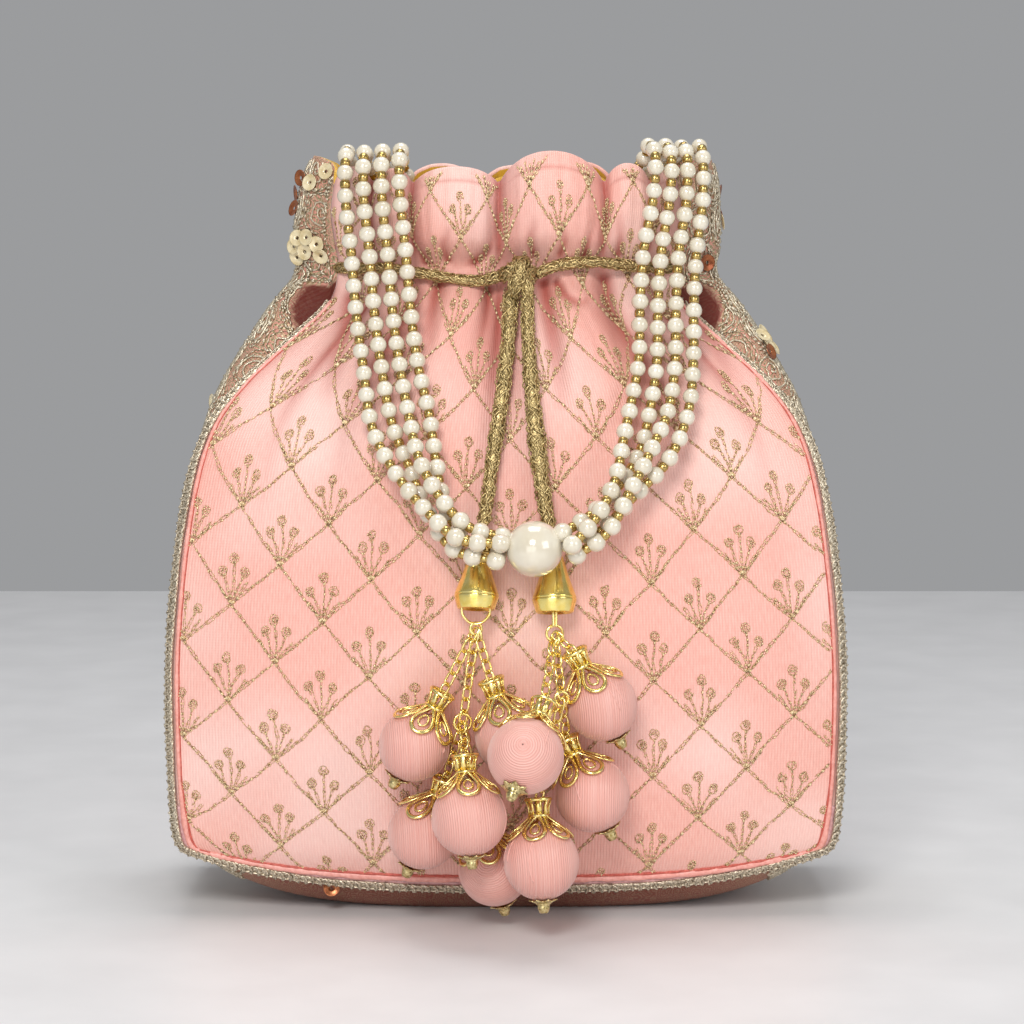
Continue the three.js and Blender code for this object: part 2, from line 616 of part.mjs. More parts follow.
// Route of one string: the band lies across the path, level with the bag's front
function stringRoute(rows, index) {
  const middle = rows.map((row) => new THREE.Vector3(row.x, row.y, row.z));
  return rows.map((row, i) => {
    const ahead = middle[Math.min(i + 1, rows.length - 1)];
    const behind = middle[Math.max(i - 1, 0)];
    const along = new THREE.Vector3().subVectors(ahead, behind).normalize();
    const slope = row.turn * Math.PI / 180;
    const wide = new THREE.Vector3(Math.cos(slope), Math.sin(slope), 0);
    const across = wide.addScaledVector(along, -wide.dot(along)).normalize();
    const deep = new THREE.Vector3().crossVectors(across, along).normalize();
    const [a, b] = stringOffset(index, row.rope);
    const angle = row.twist * 2 * Math.PI;
    const sideways = a * Math.cos(angle) - b * Math.sin(angle);
    const depth = a * Math.sin(angle) + b * Math.cos(angle);
    return middle[i].clone().addScaledVector(across, sideways).addScaledVector(deep, depth);
  });
}

// Balls rest on the front of the bag and on the balls placed before them
function placeBalls() {
  const done = [];
  BALLS.forEach((ball) => {
    const u = ball.x / readTable(SECTIONS, 'seamHalf', ball.z);
    let y = -panelDepth(FRONT_PUFFS, u, ball.z) - ball.radius - ball.clear;
    done.forEach((other) => {
      const reach = ball.radius + other.radius + ball.clear;
      const apart = Math.hypot(ball.x - other.centre.x, ball.z - other.centre.z);
      if (apart < reach) {
        y = Math.min(y, other.centre.y - Math.sqrt(reach * reach - apart * apart));
      }
    });
    const lean = ball.lean * Math.PI / 180;
    const tip = ball.tip * Math.PI / 180;
    const level = Math.cos(tip);
    const axis = new THREE.Vector3(Math.sin(lean) * level, Math.sin(tip), Math.cos(lean) * level);
    done.push({ ...ball, centre: new THREE.Vector3(ball.x, y, ball.z), axis });
  });
  return done;
}

// A closed ring of wire through points that go round the +Y axis
function wireRing(points, radius) {
  const positions = [];
  const triangles = [];
  const count = points.length;
  points.forEach((p, i) => {
    const ahead = points[(i + 1) % count];
    const behind = points[(i + count - 1) % count];
    const along = new THREE.Vector3().subVectors(ahead, behind).normalize();
    const out = p.clone().normalize();
    out.addScaledVector(along, -out.dot(along)).normalize();
    const cross = new THREE.Vector3().crossVectors(along, out);
    for (let k = 0; k < WIRE_SIDES; k += 1) {
      const angle = 2 * Math.PI * k / WIRE_SIDES;
      const q = p.clone().addScaledVector(out, radius * Math.cos(angle));
      q.addScaledVector(cross, radius * Math.sin(angle));
      positions.push(q.x, q.y, q.z);
    }
    const next = (i + 1) % count;
    for (let k = 0; k < WIRE_SIDES; k += 1) {
      const a = i * WIRE_SIDES + k;
      const b = i * WIRE_SIDES + (k + 1) % WIRE_SIDES;
      const c = next * WIRE_SIDES + (k + 1) % WIRE_SIDES;
      const d = next * WIRE_SIDES + k;
      triangles.push(a, b, c, a, c, d);
    }
  });
  const geometry = new THREE.BufferGeometry();
  geometry.setAttribute('position', new THREE.Float32BufferAttribute(positions, 3));
  geometry.setIndex(triangles);
  return geometry;
}

// Cap: open petals that hold the top of the ball and meet in a slotted collar
function capGeometry(ball) {
  const stand = ball.radius + CAP_STAND;
  const foot = ball.radius + COLLAR_FOOT;
  const petalDrop = Math.sqrt(stand * stand - PETAL_REACH * PETAL_REACH);
  const points = [];
  for (let i = 0; i < PETALS; i += 1) {
    const middle = 360 * i / PETALS;
    const stops = [
      { angle: middle - 180 / PETALS, radius: COLLAR_MOUTH, level: ball.radius + COLLAR_TOP },
      { angle: middle - COLLAR_SPREAD, radius: COLLAR_RADIUS, level: foot },
      { angle: middle - PETAL_SPREAD, radius: PETAL_REACH, level: petalDrop },
      { angle: middle + PETAL_SPREAD, radius: PETAL_REACH, level: petalDrop },
      { angle: middle + COLLAR_SPREAD, radius: COLLAR_RADIUS, level: foot },
    ];
    stops.forEach((stop) => {
      const angle = stop.angle * Math.PI / 180;
      const x = stop.radius * Math.cos(angle);
      points.push(new THREE.Vector3(x, stop.level, -stop.radius * Math.sin(angle)));
    });
  }
  return placed(wireRing(points, PETAL_WIRE), ball.axis, ball.centre);
}

function tipGeometry(ball) {
  const tip = new THREE.CylinderGeometry(TIP_WIDE, TIP_NARROW, TIP_LENGTH, 6);
  tip.translate(0, -ball.radius - GAP - TIP_LENGTH / 2, 0);
  return placed(tip, ball.axis, ball.centre);
}

function ballGeometry(ball) {
  const sphere = new THREE.SphereGeometry(ball.radius, BALL_SIDES, BALL_BANDS);
  return placed(sphere, ball.axis, ball.centre);
}

// Chains of one tassel: from the bell to a ring, and from the bell or the ring to each cap
function chainGeometry(bell, balls) {
  const foot = new THREE.Vector3(...bell.foot);
  const hub = foot.clone().add(new THREE.Vector3(0, -1.0, -HUB_DROP));
  const ring = new THREE.Vector3(...CHAIN_RINGS[bell.name]);
  const link = (from, to) => rod([from, to], CHAIN_RADIUS, CHAIN_SIDES, CHAIN_STEPS);
  const pieces = [link(foot.clone().add(new THREE.Vector3(0, 0, -GAP)), hub), link(hub, ring)];
  [hub, ring].forEach((point) => {
    const knob = new THREE.SphereGeometry(CHAIN_RADIUS * 1.6, 8, 5);
    pieces.push(knob.translate(point.x, point.y, point.z));
  });
  balls.forEach((ball) => {
    const end = ball.centre.clone().addScaledVector(ball.axis, ball.radius + COLLAR_TOP - CHAIN_SEAT);
    pieces.push(link(ball.hangs === 'ring' ? ring : hub, end));
  });
  return joined(pieces);
}

const group = new THREE.Group();
group.name = 'potli_bag';

function add(name, geometry, colour) {
  const metal = METAL_NAMES.includes(colour);
  const material = new THREE.MeshStandardMaterial({
    color: COLOURS[colour],
    roughness: metal ? 0.3 : 0.7,
    metalness: metal ? 1 : 0,
  });
  const mesh = new THREE.Mesh(geometry, material);
  mesh.name = name;
  group.add(mesh);
}

const cord = rod(CORD_ROUTE, CORD_RADIUS, CORD_SIDES, CORD_STEPS);
const slit = rod(CORD_ROUTE, CORD_RADIUS + GAP, CORD_SIDES, CORD_STEPS);

add('front_panel', cutBy(clothWall(panelGrid(FRONT_PUFFS, -1), WALL), slit), 'silk');
add('back_panel', clothWall(panelGrid(BACK_PUFFS, 1), WALL), 'silk');
add('gusset', cutBy(clothWall(gussetGrid(), WALL), slit), 'lace');
add('lining', liningGeometry(), 'lining');
add('braid_front', braidGeometry(FRONT_PUFFS, -1), 'braid');
add('braid_back', braidGeometry(BACK_PUFFS, 1), 'braid');
add('drawstring', cord, 'cord');
add('drawstring_knot', knotGeometry(), 'cord');
add('cord_tail_left', rod(TAIL_LEFT, CORD_RADIUS, CORD_SIDES, TAIL_STEPS), 'cord');
add('cord_tail_right', rod(TAIL_RIGHT, CORD_RADIUS, CORD_SIDES, TAIL_STEPS), 'cord');

[['left', HANDLE_LEFT], ['right', HANDLE_RIGHT]].forEach(([side, rows]) => {
  for (let i = 0; i < 4; i += 1) {
    const string = rod(stringRoute(rows, i), STRING_RADIUS, STRING_SIDES, STRING_STEPS);
    add(`pearl_string_${side}_${i + 1}`, string, 'pearl');
  }
});
const pearl = new THREE.SphereGeometry(PEARL_RADIUS, PEARL_SIDES, PEARL_SIDES / 2 + 1);
pearl.translate(...PEARL_CENTRE);
add('big_pearl', pearl, 'pearl');

const balls = placeBalls();
BELLS.forEach((bell) => {
  add(`bell_${bell.name}`, bellGeometry(bell), 'gold');
  add(`chains_${bell.name}`, chainGeometry(bell, balls.filter((b) => b.side === bell.name)), 'gold');
});
balls.forEach((ball) => {
  add(`ball_${ball.name}`, ballGeometry(ball), 'thread');
  add(`ball_cap_${ball.name}`, capGeometry(ball), 'gold');
  add(`ball_tip_${ball.name}`, tipGeometry(ball), 'gold');
});

export default group;
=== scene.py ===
import math

import bpy
import numpy as np
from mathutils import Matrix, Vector


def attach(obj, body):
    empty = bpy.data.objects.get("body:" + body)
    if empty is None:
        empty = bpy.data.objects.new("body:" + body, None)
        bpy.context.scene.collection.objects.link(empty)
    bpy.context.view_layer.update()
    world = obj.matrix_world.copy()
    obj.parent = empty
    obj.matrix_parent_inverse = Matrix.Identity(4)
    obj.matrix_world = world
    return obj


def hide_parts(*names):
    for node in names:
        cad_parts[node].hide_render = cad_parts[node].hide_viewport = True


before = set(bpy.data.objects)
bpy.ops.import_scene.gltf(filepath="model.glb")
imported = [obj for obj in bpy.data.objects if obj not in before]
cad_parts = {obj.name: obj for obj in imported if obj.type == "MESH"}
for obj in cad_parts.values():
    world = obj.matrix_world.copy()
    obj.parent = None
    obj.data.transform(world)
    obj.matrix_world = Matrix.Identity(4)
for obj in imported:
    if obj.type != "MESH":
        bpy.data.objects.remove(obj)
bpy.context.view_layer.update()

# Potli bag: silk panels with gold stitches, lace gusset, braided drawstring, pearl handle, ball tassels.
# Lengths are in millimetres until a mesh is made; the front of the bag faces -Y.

MM = 0.001
BODY = "root"
rng = np.random.default_rng(7)

# Camera
CAMERA_PLACE = (0.0018, -0.8951, 0.2111)
CAMERA_TARGET = (0.0018, 0.0, 0.117)
CAMERA_LENS = 103.7
SENSOR_WIDTH = 36.0

# Lights, all turned to the middle of the bag: name, place, size, power, colour
MIDDLE = (0.0, -0.02, 0.12)
LIGHTS = [
    ("key", (-0.15, -1.0, 0.75), 0.35, 7.0, (1.0, 0.98, 0.95)),
    ("front", (-0.3, -1.3, 0.06), 0.9, 4.7, (1.0, 0.99, 0.97)),
    ("fill", (0.8, -0.75, 0.5), 0.5, 2.6, (1.0, 0.98, 0.96)),
    ("top", (0.0, 0.1, 1.0), 0.5, 4.0, (1.0, 1.0, 1.0)),
]
SKY_COLOUR = (0.82, 0.83, 0.85, 1.0)
SKY_STRENGTH = 0.4
# Floor: half width, front edge and back edge in metres
FLOOR = (3.0, -3.0, 0.7)

# Levels of the pouch
SEAM_FLOOR = 9.0
CORD_LEVEL = 191.6
RUFFLE_TOP = 222.0
BODY_TOP = CORD_LEVEL - SEAM_FLOOR
PANEL_TOP = RUFFLE_TOP - SEAM_FLOOR
NECK_HALF = 50.0
PANEL_HALF = 98.0

# Sections: height, half width at the seam, seam depth, bulge, side, groove, pucker
SECTIONS = np.array([
    (9.0, 90.0, 31.0, 3.0, 5.0, 0.0, 0.0),
    (12.5, 95.0, 32.0, 4.5, 3.5, 0.0, 0.0),
    (20.0, 97.0, 33.0, 7.0, 2.5, 0.0, 0.0),
    (45.0, 98.2, 34.0, 10.5, 2.2, 0.0, 0.0),
    (75.0, 98.4, 34.0, 12.0, 2.2, 0.0, 0.0),
    (105.0, 96.0, 32.5, 12.0, 2.2, 0.0, 0.03),
    (130.0, 92.0, 29.5, 11.5, 2.4, 0.3, 0.1),
    (146.0, 86.5, 26.5, 10.5, 3.5, 1.5, 0.25),
    (158.0, 77.5, 23.5, 9.0, 7.0, 4.0, 0.45),
    (170.0, 64.5, 19.5, 7.5, 11.0, 6.0, 0.65),
    (181.0, 53.0, 15.5, 5.0, 13.5, 5.0, 0.7),
    (191.6, 50.0, 13.0, 3.0, 13.0, 0.5, 0.2),
    (201.0, 51.0, 14.5, 4.5, 13.5, 0.5, 0.9),
    (212.0, 52.0, 16.0, 5.5, 13.0, 1.5, 1.0),
    (222.0, 51.0, 16.5, 6.0, 11.0, 2.0, 0.85),
])
SEAM_HALF, SEAM_DEPTH, BULGE, SIDE, GROOVE, PUCKER = range(1, 7)

# Gathers: left, right, swell, crest
FRONT_PUFFS = np.array([
    (-50.0, -38.5, 3.5, -1.0), (-38.5, -27.0, 4.0, -1.5), (-27.0, -2.0, 7.5, -1.0),
    (-2.0, 28.5, 9.0, 3.5), (28.5, 42.0, 5.0, 0.0), (42.0, 50.0, 2.5, -1.5),
])
BACK_PUFFS = np.array([
    (-50.0, -31.0, 5.0, -1.0), (-31.0, -8.0, 7.0, 0.5), (-8.0, 13.0, 6.5, 0.0),
    (13.0, 33.0, 6.5, 1.0), (33.0, 50.0, 4.5, -1.0),
])
PUFFS = {-1: FRONT_PUFFS, 1: BACK_PUFFS}
# Folds pressed into the panels round the neck: points (x, z) seen from outside, depth, half width
FOLDS = [
    ([(-19.5, 187.3), (-21.3, 177.8), (-23.1, 167.5)], 4.2, 2.3),
    ([(-5.6, 185.2), (-6.8, 176.4), (-8.9, 166.0)], 4.2, 2.3),
    ([(11.5, 187.3), (13.3, 176.4), (15.4, 163.1), (16.6, 152.7)], 4.2, 2.6),
    ([(29.2, 188.1), (31.3, 179.3), (34.3, 169.0)], 4.0, 2.5),
    ([(14.8, 187.0), (17.7, 183.1), (21.3, 181.7), (24.8, 183.4)], 3.2, 1.5),
    ([(-45.5, 182.3), (-49.0, 168.0), (-52.1, 155.6)], 2.0, 3.5),
    ([(54.3, 182.3), (61.0, 170.0), (67.8, 158.6)], 2.0, 3.5),
    ([(-9.5, 193.5), (-5.5, 198.0), (-3.4, 206.0), (-3.0, 214.0)], 2.6, 2.0),
    ([(-23.5, 193.5), (-25.5, 199.0), (-26.6, 207.0)], 2.4, 1.8),
    ([(-17.0, 194.0), (-17.8, 198.0), (-16.5, 203.0)], 1.7, 1.4),
    ([(8.6, 195.5), (8.2, 199.5), (9.4, 204.0)], 1.8, 1.5),
    ([(15.8, 195.5), (16.6, 199.0), (15.6, 203.0)], 1.6, 1.3),
    ([(22.5, 195.5), (23.6, 200.0), (25.4, 206.0)], 2.0, 1.6),
    ([(33.5, 195.5), (34.2, 201.0), (33.8, 207.0)], 1.6, 1.5),
]
# Share of a fold's depth left at its far end, and width of its painted shade against its own width
FOLD_END = 0.2
FOLD_SHADE_WIDTH = 0.8
# Hem line in the ruffle: level, depth and half width
HEM_LEVEL = PANEL_TOP - 3.6
HEM_DEPTH = 0.4
HEM_HALF = 0.6
# How far the ruffle rolls out in its middle, and in at its edge
RUFFLE_ROLL = (3.0, 7.5)
# Powers of the panel's crown and of a puff's arch
PILLOW_POWER = 2.5
ARCH_POWER = 0.75
# Dip of the ruffle's edge between two puffs
VALLEY_DIP = 6.0
# Rise of the bottom corners, and the level where it ends
CORNER_RISE = 9.0
CORNER_FADE = 45.0
# How far a puff leans over its sides, and the swell at which it does so in full
PUFF_OVERHANG = 1.4
FULL_SWELL = 9.0
# Small pleats at the neck: depth, spacing and how far the sway moves them
PLEATS = [(0.2, 0.66, 1.0), (0.1, 0.37, -0.7)]
# Depth of the soft unevenness all over
UNEVEN = 0.45
# Stitches that pull at the bottom seam: depth, height and spacing
SEAM_PULL = (0.35, 2.8, 3.4)

# Shares of painted shade between the puffs, at the seam, in the folds and at the hem
VALLEY_PAINTED_SHADE = 0.9
SEAM_PAINTED_SHADE = 0.6
FOLD_PAINTED_SHADE = 0.85
HEM_PAINTED_SHADE = 0.35
# Painted shade on the cloth under the cord: middle height, spread and share
UNDER_CORD_PAINTED_SHADE = (171.0, 15.0, 0.13)

# Cloth: wall, rows round the rims, and the grids of the panels and the gusset
CLOTH_WALL = 1.5
PANEL_RIM = 4
GUSSET_RIM = 2
PANEL_COLUMNS = 156
PANEL_ROWS = np.concatenate([
    np.linspace(0, 14, 9), np.linspace(16, 140, 46), np.linspace(141, PANEL_TOP, 78)])
BASE_ROWS = 110
GUSSET_COLUMNS = 37
# Gusset: how far its edges lie inside the panels, sag under the bag, rise at the mouth, depth of its grooves
GUSSET_INSET = 1.0
SAG = 10.6
GUSSET_CREST = 8.0
GROOVE_DEEPER = 1.25
# Hollow of each shoulder: height, half of its own height, and reach, and blend of its painted shade, as
# shares of the half width
HOLLOW_LEVEL = 178.5
HOLLOW_TALL = 8.0
HOLLOW_REACH = 0.52
HOLLOW_SHADE_BLEND = 0.08
# Fold of the gusset beside the seam: share of the half width and spread
SIDE_FOLD = (0.82, 0.16)
# How far the mouth's corners are tucked in, left and right
CORNER_TUCK = (0.42, 0.1)

# Lace on the gusset: spacing across and along, and the cord of its scrolls
LACE_STEP = (11.0, 12.0)
SCROLL_POINTS = 50
SCROLL_CORD = (0.36, 0.42)
SCROLL_LIFT = 0.3
SHORTEST_SCROLL = 6
# Outlines of a lace leaf: size, stitch, width and height of the thread
LEAF_THREADS = [(1.0, 2.3, 0.95, 0.9), (0.84, 2.5, 0.7, 0.6)]
# How far inside the hollow's edge the two threads round it lie, as shares of the half width
HOLLOW_THREADS = (0.02, 0.09)

# Discs sewn on the gusset: side, z and share of the half width
CREAM_ARCHES = [(-1, 196.0, -0.55), (-1, 118.0, 0.1), (1, 170.0, -0.1), (1, 88.0, 0.4), (-1, 60.0, 0.3)]
CREAM_SINGLES = [
    (-1, 225.0, -0.5), (-1, 222.0, -0.74), (-1, 217.0, -0.56), (1, 205.0, 0.1), (-1, 150.0, 0.2),
]
COPPER_DISCS = [
    (1, 193.0, -0.5), (1, 167.0, -0.45), (-1, 218.0, -0.12), (-1, 213.5, -0.06), (-1, 209.0, -0.1),
    (1, 214.0, 0.3), (1, 209.0, 0.25), (-1, 172.0, 0.4), (1, 150.0, 0.35),
]
# One copper disc that hangs under the front seam: place and direction
LOOSE_DISC = ((-52.0, -32.0, 7.6), (0.1, -1.0, 0.3))
DISC_RADIUS = 2.5
# Section of a disc: share of the radius, and height
DISC_PROFILE = [
    (0.22, 0.0), (0.55, 0.05), (0.92, 0.3), (1.0, 0.42), (1.0, 0.55), (0.9, 0.45), (0.5, 0.2), (0.22, 0.15),
]
DISC_SIDES = 16
DISC_LIFT = 1.1
DISC_TILT = 0.22
DISC_LEAN = np.array([0.0, -0.4, 0.0])
# Arch of discs in a flower: how many, half width and height
ARCH_DISCS = 6
ARCH_SIZE = (4.7, 4.4)

# Trim on the seams, up to one level. The cords beside the braid: name, material, how far inside the panel,
# how far raised, radius, top level
TRIM_TOP = 173
PIPINGS = [
    ("piping", "pink_satin", 2.2, 0.25, 1.05, TRIM_TOP),
    ("edging", "lilac_satin", 0.8, 0.4, 0.85, 22),
    # A coral thread inside the piping: partly stitching, partly a painted shadow line where the piping meets
    # the panel
    ("crease", "coral_thread", 3.3, 0.15, 0.42, TRIM_TOP),
]
PIPING_STEP = 1.2
# Levels, and the share of the cords' size and inset there
SIDE_SLIM = ([8, 32], [1.0, 0.6])
# Heights, and how far the braid stands off the seam there
BRAID_SEAT = ([135, 165], [2.0, 1.0])
# Heights, and the share of the braid's size there
BRAID_SLIM = ([135, 160], [1.0, 0.6])
BRAID_STEP = 0.38
LOOP_PITCH = 2.4
LOOP_REACH = 1.4
LOOP_LEAN = 0.95

# Lining: levels and the room to the outer cloth there, heights and the extra room at the sides there,
# heights and how often a ring is evened out there
LINING_ROOM = ([PANEL_TOP - 10, PANEL_TOP - 3], [4.8, 1.9])
LINING_SIDE_ROOM = ([176, 190], [7.0, 0.0])
LINING_EVENED = ([170, 190, 215], [40, 4, 1])
LINING_WALL = 0.8
LINING_SIDES = 46
LINING_LEVELS = np.concatenate([np.linspace(147, 175, 12), np.linspace(177, PANEL_TOP - 2.5, 26)])
# How far the cord squeezes the lining in front, at the back and at the sides, and over what height
CORD_SQUEEZE = (0.8, 5.2, 6.5)
SQUEEZE_TALL = 8

# Lattice on the panels: half steps across and up, a first node, and how far it bends left and right
LATTICE_HALF = (13.8, 14.3)
LATTICE_START = (1.5, 62.0)
LATTICE_SAG = (12.4, 5.8)
STITCH_STEP = 1.9
# A stitch is a closed grain: two ends, two sides and a top
STITCH_FACES = np.array([(0, 2, 4), (2, 1, 4), (1, 3, 4), (3, 0, 4), (2, 0, 3), (1, 2, 3)])
STITCH_CORNERS = 5
STITCH_HALF = 0.62
# Radii of the rings in a bud, and share of the stitches that are left out
BUD_RINGS = (1.55, 1.0, 0.4)
MISSED_STITCHES = 0.02
LATTICE_COLUMNS = range(-8, 9)
LATTICE_ROWS = range(-6, 12)
# Threads of a lattice line: how far each lies from the middle
LATTICE_THREADS = (-0.24, 0.24)
# Threads of a stem: how far each lies from the middle, and its width
STEM_THREADS = [(0.0, 0.62), (0.4, 0.45)]
STEM_STEP = 1.5
# Limits of the needlework on a panel: half width, lowest and highest level
SEWN_LIMITS = (96.5, 1.5, PANEL_TOP - 0.6)

# Drawstring: radius, and its route round the neck
CORD_ROUTE = [
    (-1.6, -23.0, 189.4), (-8.0, -21.0, 187.9), (-16.0, -20.4, 188.6), (-26.0, -19.8, 190.2),
    (-36.0, -19.0, 191.6), (-43.5, -17.6, 191.6), (-48.8, -14.4, 191.6), (-50.6, -9.6, 191.6),
    (-53.0, -4.6, 191.6), (-57.4, 1.0, 191.6), (-52.8, 6.4, 191.6), (-44.0, 8.9, 191.6),
    (-30.0, 10.6, 191.6), (0.0, 11.3, 191.6), (30.0, 10.6, 191.6), (44.0, 8.9, 191.6),
    (52.8, 6.4, 191.6), (57.4, 1.0, 191.6), (53.0, -4.6, 191.6), (50.6, -9.6, 191.6),
    (48.8, -14.4, 191.6), (43.5, -17.6, 191.6), (36.0, -19.4, 192.4), (26.0, -20.4, 193.4),
    (16.0, -21.2, 192.6), (8.8, -23.0, 190.0),
]
# Strands each way round, step between points, and length of one turn
CORD_STRANDS = 6
CORD_STEP = 0.7
CORD_PITCH = 22.0
# Half width and half thickness of a strand, and share of the cord's size that its core has
CORD_STRAND = (0.42, 0.24)
CORD_CORE = 0.72
# Unevenness of the cord's width: share and spacing. Sway of the strands: turn and spacing
CORD_UNEVEN = [(0.06, 3.1), (0.05, 1.3)]
STRAND_SWAY = [(0.35, 2.3), (0.25, 0.9)]
# Half width and half thickness of the drawstring, and half thickness of the knot and of the tails
DRAWSTRING_SIZE = (1.7, 1.6)
KNOT_TALL = 1.25
TAIL_TALL = 1.35
KNOT_CENTRE = np.array([3.6, -24.2, 189.6])
# Runs of the knot round its middle, with half widths: the wrap over the front, and the loop behind it
KNOT_ROUTES = [
    ([(0.6, 2.6, -3.6), (0.8, 3.4, 0.4), (1.0, 2.0, 3.6), (1.0, -0.8, 4.6), (0.8, -3.2, 3.2),
      (0.2, -4.2, 0.2), (-0.8, -4.0, -3.0), (-2.0, -2.6, -6.0)], 2.6),
    ([(-5.0, 1.0, -0.4), (-3.2, -1.4, 0.6), (-0.6, -2.2, 0.8), (2.2, -1.6, 0.6), (5.0, 0.8, 0.6)], 2.2),
    ([(-3.0, 0.2, 1.8), (-1.6, -1.8, 2.0), (0.6, -1.6, 2.0), (2.4, -2.6, -0.6), (2.8, -3.6, -3.6),
      (2.6, -3.8, -6.4)], 1.9),
]
# Places along each tail, and its half width there
TAIL_WIDTHS = {"left": ([0, 0.3, 1], [2.3, 2.4, 1.9]), "right": ([0, 0.25, 0.6, 1], [1.9, 2.2, 2.8, 1.9])}
TAIL_ROUTES = {
    "left": [
        (1.4, -26.2, 183.8), (0.8, -32.0, 172.0), (-1.0, -38.0, 156.0), (-3.4, -42.6, 140.0),
        (-5.4, -46.2, 125.0), (-6.9, -48.2, 117.0), (-7.9, -48.4, 111.2),
    ],
    "right": [
        (6.2, -28.0, 183.4), (6.6, -34.8, 170.0), (7.6, -39.6, 156.0), (9.2, -43.4, 140.0),
        (11.2, -46.4, 125.0), (12.9, -48.2, 116.0), (13.9, -48.4, 110.2),
    ],
}

# Bells: radius and drop from the top, with a fine groove round the shoulder
BELL_PROFILE = [
    (0.0, 0.0), (2.3, 0.0), (2.6, 0.15), (2.75, 0.5), (3.3, 2.4), (4.0, 4.9), (4.8, 7.4), (5.6, 9.6),
    (6.1, 11.0), (6.34, 11.7), (6.42, 12.05), (6.3, 12.15), (6.3, 12.3), (6.45, 12.4), (6.4, 12.8),
    (6.1, 13.9), (5.7, 15.3), (5.42, 16.2), (5.25, 16.4), (4.9, 16.3), (4.7, 15.8), (0.0, 15.2),
]
BELLS = {
    "left": (np.array([-7.9, -48.6, 110.2]), np.array([-8.6, -52.6, 94.2])),
    "right": (np.array([13.9, -48.6, 109.2]), np.array([14.1, -52.6, 92.8])),
}

# Handle: x, y, z of the middle of the band, turn in degrees, rope share, twist in turns
HANDLES = {
    "left": np.array([
        (-35.0, -4.6, 203.0, -14, 0.0, 0.0), (-36.4, -7.6, 215.0, -12, 0.0, 0.0),
        (-38.6, -14.2, 223.0, -8, 0.0, 0.0), (-38.8, -21.0, 226.0, -6, 0.0, 0.0),
        (-39.0, -27.4, 222.6, -4, 0.0, 0.0), (-38.8, -29.8, 212.0, 0, 0.0, 0.0),
        (-37.2, -30.6, 196.0, 0, 0.0, 0.0), (-35.8, -33.4, 180.0, 0, 0.0, 0.0),
        (-33.4, -38.6, 163.0, 0, 0.0, 0.0), (-30.4, -43.6, 148.0, 0, 0.15, 0.0),
        (-26.2, -49.4, 136.0, 0, 0.7, 0.02), (-20.4, -54.6, 124.4, 0, 1.0, 0.1),
        (-12.4, -58.4, 115.4, 0, 1.0, 0.2), (-1.0, -58.8, 112.4, 0, 1.0, 0.32),
    ]),
    "right": np.array([
        (41.0, -3.4, 203.0, 24, 0.0, 0.0), (42.6, -6.0, 215.0, 26, 0.0, 0.0),
        (48.2, -11.6, 224.6, 30, 0.0, 0.0), (49.8, -18.4, 227.4, 30, 0.0, 0.0),
        (50.8, -24.8, 223.6, 28, 0.0, 0.0), (50.4, -27.0, 212.0, 22, 0.0, 0.0),
        (48.0, -29.0, 196.0, 12, 0.0, 0.0), (47.0, -32.6, 180.0, 6, 0.0, 0.0),
        (46.6, -37.4, 165.0, 2, 0.0, 0.0), (44.6, -42.2, 152.0, 0, 0.1, 0.0),
        (40.4, -47.8, 140.0, 0, 0.6, 0.02), (34.0, -53.2, 129.4, 0, 1.0, 0.1),
        (26.4, -57.4, 119.4, 0, 1.0, 0.2), (18.2, -59.0, 114.0, 0, 1.0, 0.3),
    ]),
}
# Strings side by side in the band, and their places round the middle of the rope
STRINGS = 4
STRING_PITCH = 5.3
ROPE_RADIUS = 3.9
ROPE_SWELL = 0.3
ROPE_PLACES = [(-1, 0), (0, 1), (0, -1), (1, 0)]
PEARL_STEP = 6.6
PEARL_RADIUS = 2.5
PEARL_SIDES = 14
PEARL_RINGS = 11
# Growth of the pearls over the last third of a string
PEARL_GROWTH = 0.13
# Room between the last pearl's middle and the end of the route
STRING_ENDS = {"left": 0.9, "right": 0.1}
# Radius and height of a spacer bead, and radius of the thread through the beads
SPACER = [(0.5, -1.1), (1.2, -1.1), (1.47, -0.75), (1.52, 0), (1.47, 0.75), (1.2, 1.1), (0.5, 1.1)]
SPACER_SIDES = 12
STRING_THREAD = 0.35
BIG_PEARL = (np.array([8.2, -59.0, 112.6]), 8.1)

# Balls in the order of placing: name, side, hangs from, x, z, radius, lean and tip in degrees, room
BALLS = [
    ("1", "left", "hub", -26.4, 55.1, 10.3, 28, 0, 1.0),
    ("3", "left", "ring", -24.0, 28.6, 10.3, 22, -4, 1.0),
    ("5", "left", "hub", 1.4, 57.8, 10.3, -19, 2, 1.0),
    ("6", "right", "hub", 27.6, 67.0, 10.3, -27, 0, 1.0),
    ("9", "left", "ring", -3.4, 17.0, 10.3, -14, -6, 1.0),
    ("7", "right", "ring", 25.0, 40.8, 10.8, -25, 2, 2.0),
    ("2", "left", "ring", -10.4, 36.6, 10.8, -4, 12, 1.6),
    ("4", "right", "hub", 5.6, 56.6, 10.8, 22, 38, 2.6),
    ("8", "right", "ring", 10.2, 23.4, 10.8, -3, 12, 1.6),
]
# Balls whose thread circles the side that faces the viewer; on the others it runs from cap to tip
WOUND_FRONT = ("4", "9")
BALL_RINGS = 27
BALL_SIDES = 60
LOOSE_STRANDS = 4
LOOSE_STRAND = (0.22, 0.16)
# Petals of a cap: how many, near and far end, half width, and how far they flare and stand off the ball
PETALS = 6
PETAL_NEAR = 2.5
PETAL_FAR = 9.3
PETAL_HALF = 4.1
PETAL_FLARE = 0.35
PETAL_LIFT = 0.55
PETAL_POINTS = 36
# Loops of a petal: size against the petal, and half width of the band
PETAL_LOOPS = [(1.0, 0.62), (0.45, 0.34)]
PETAL_MIDDLE = 0.62
COLLAR_TOP = 7.4
COLLAR_NECK = 2.75
COLLAR_MOUTH = 3.7
COLLAR_POSTS = 8
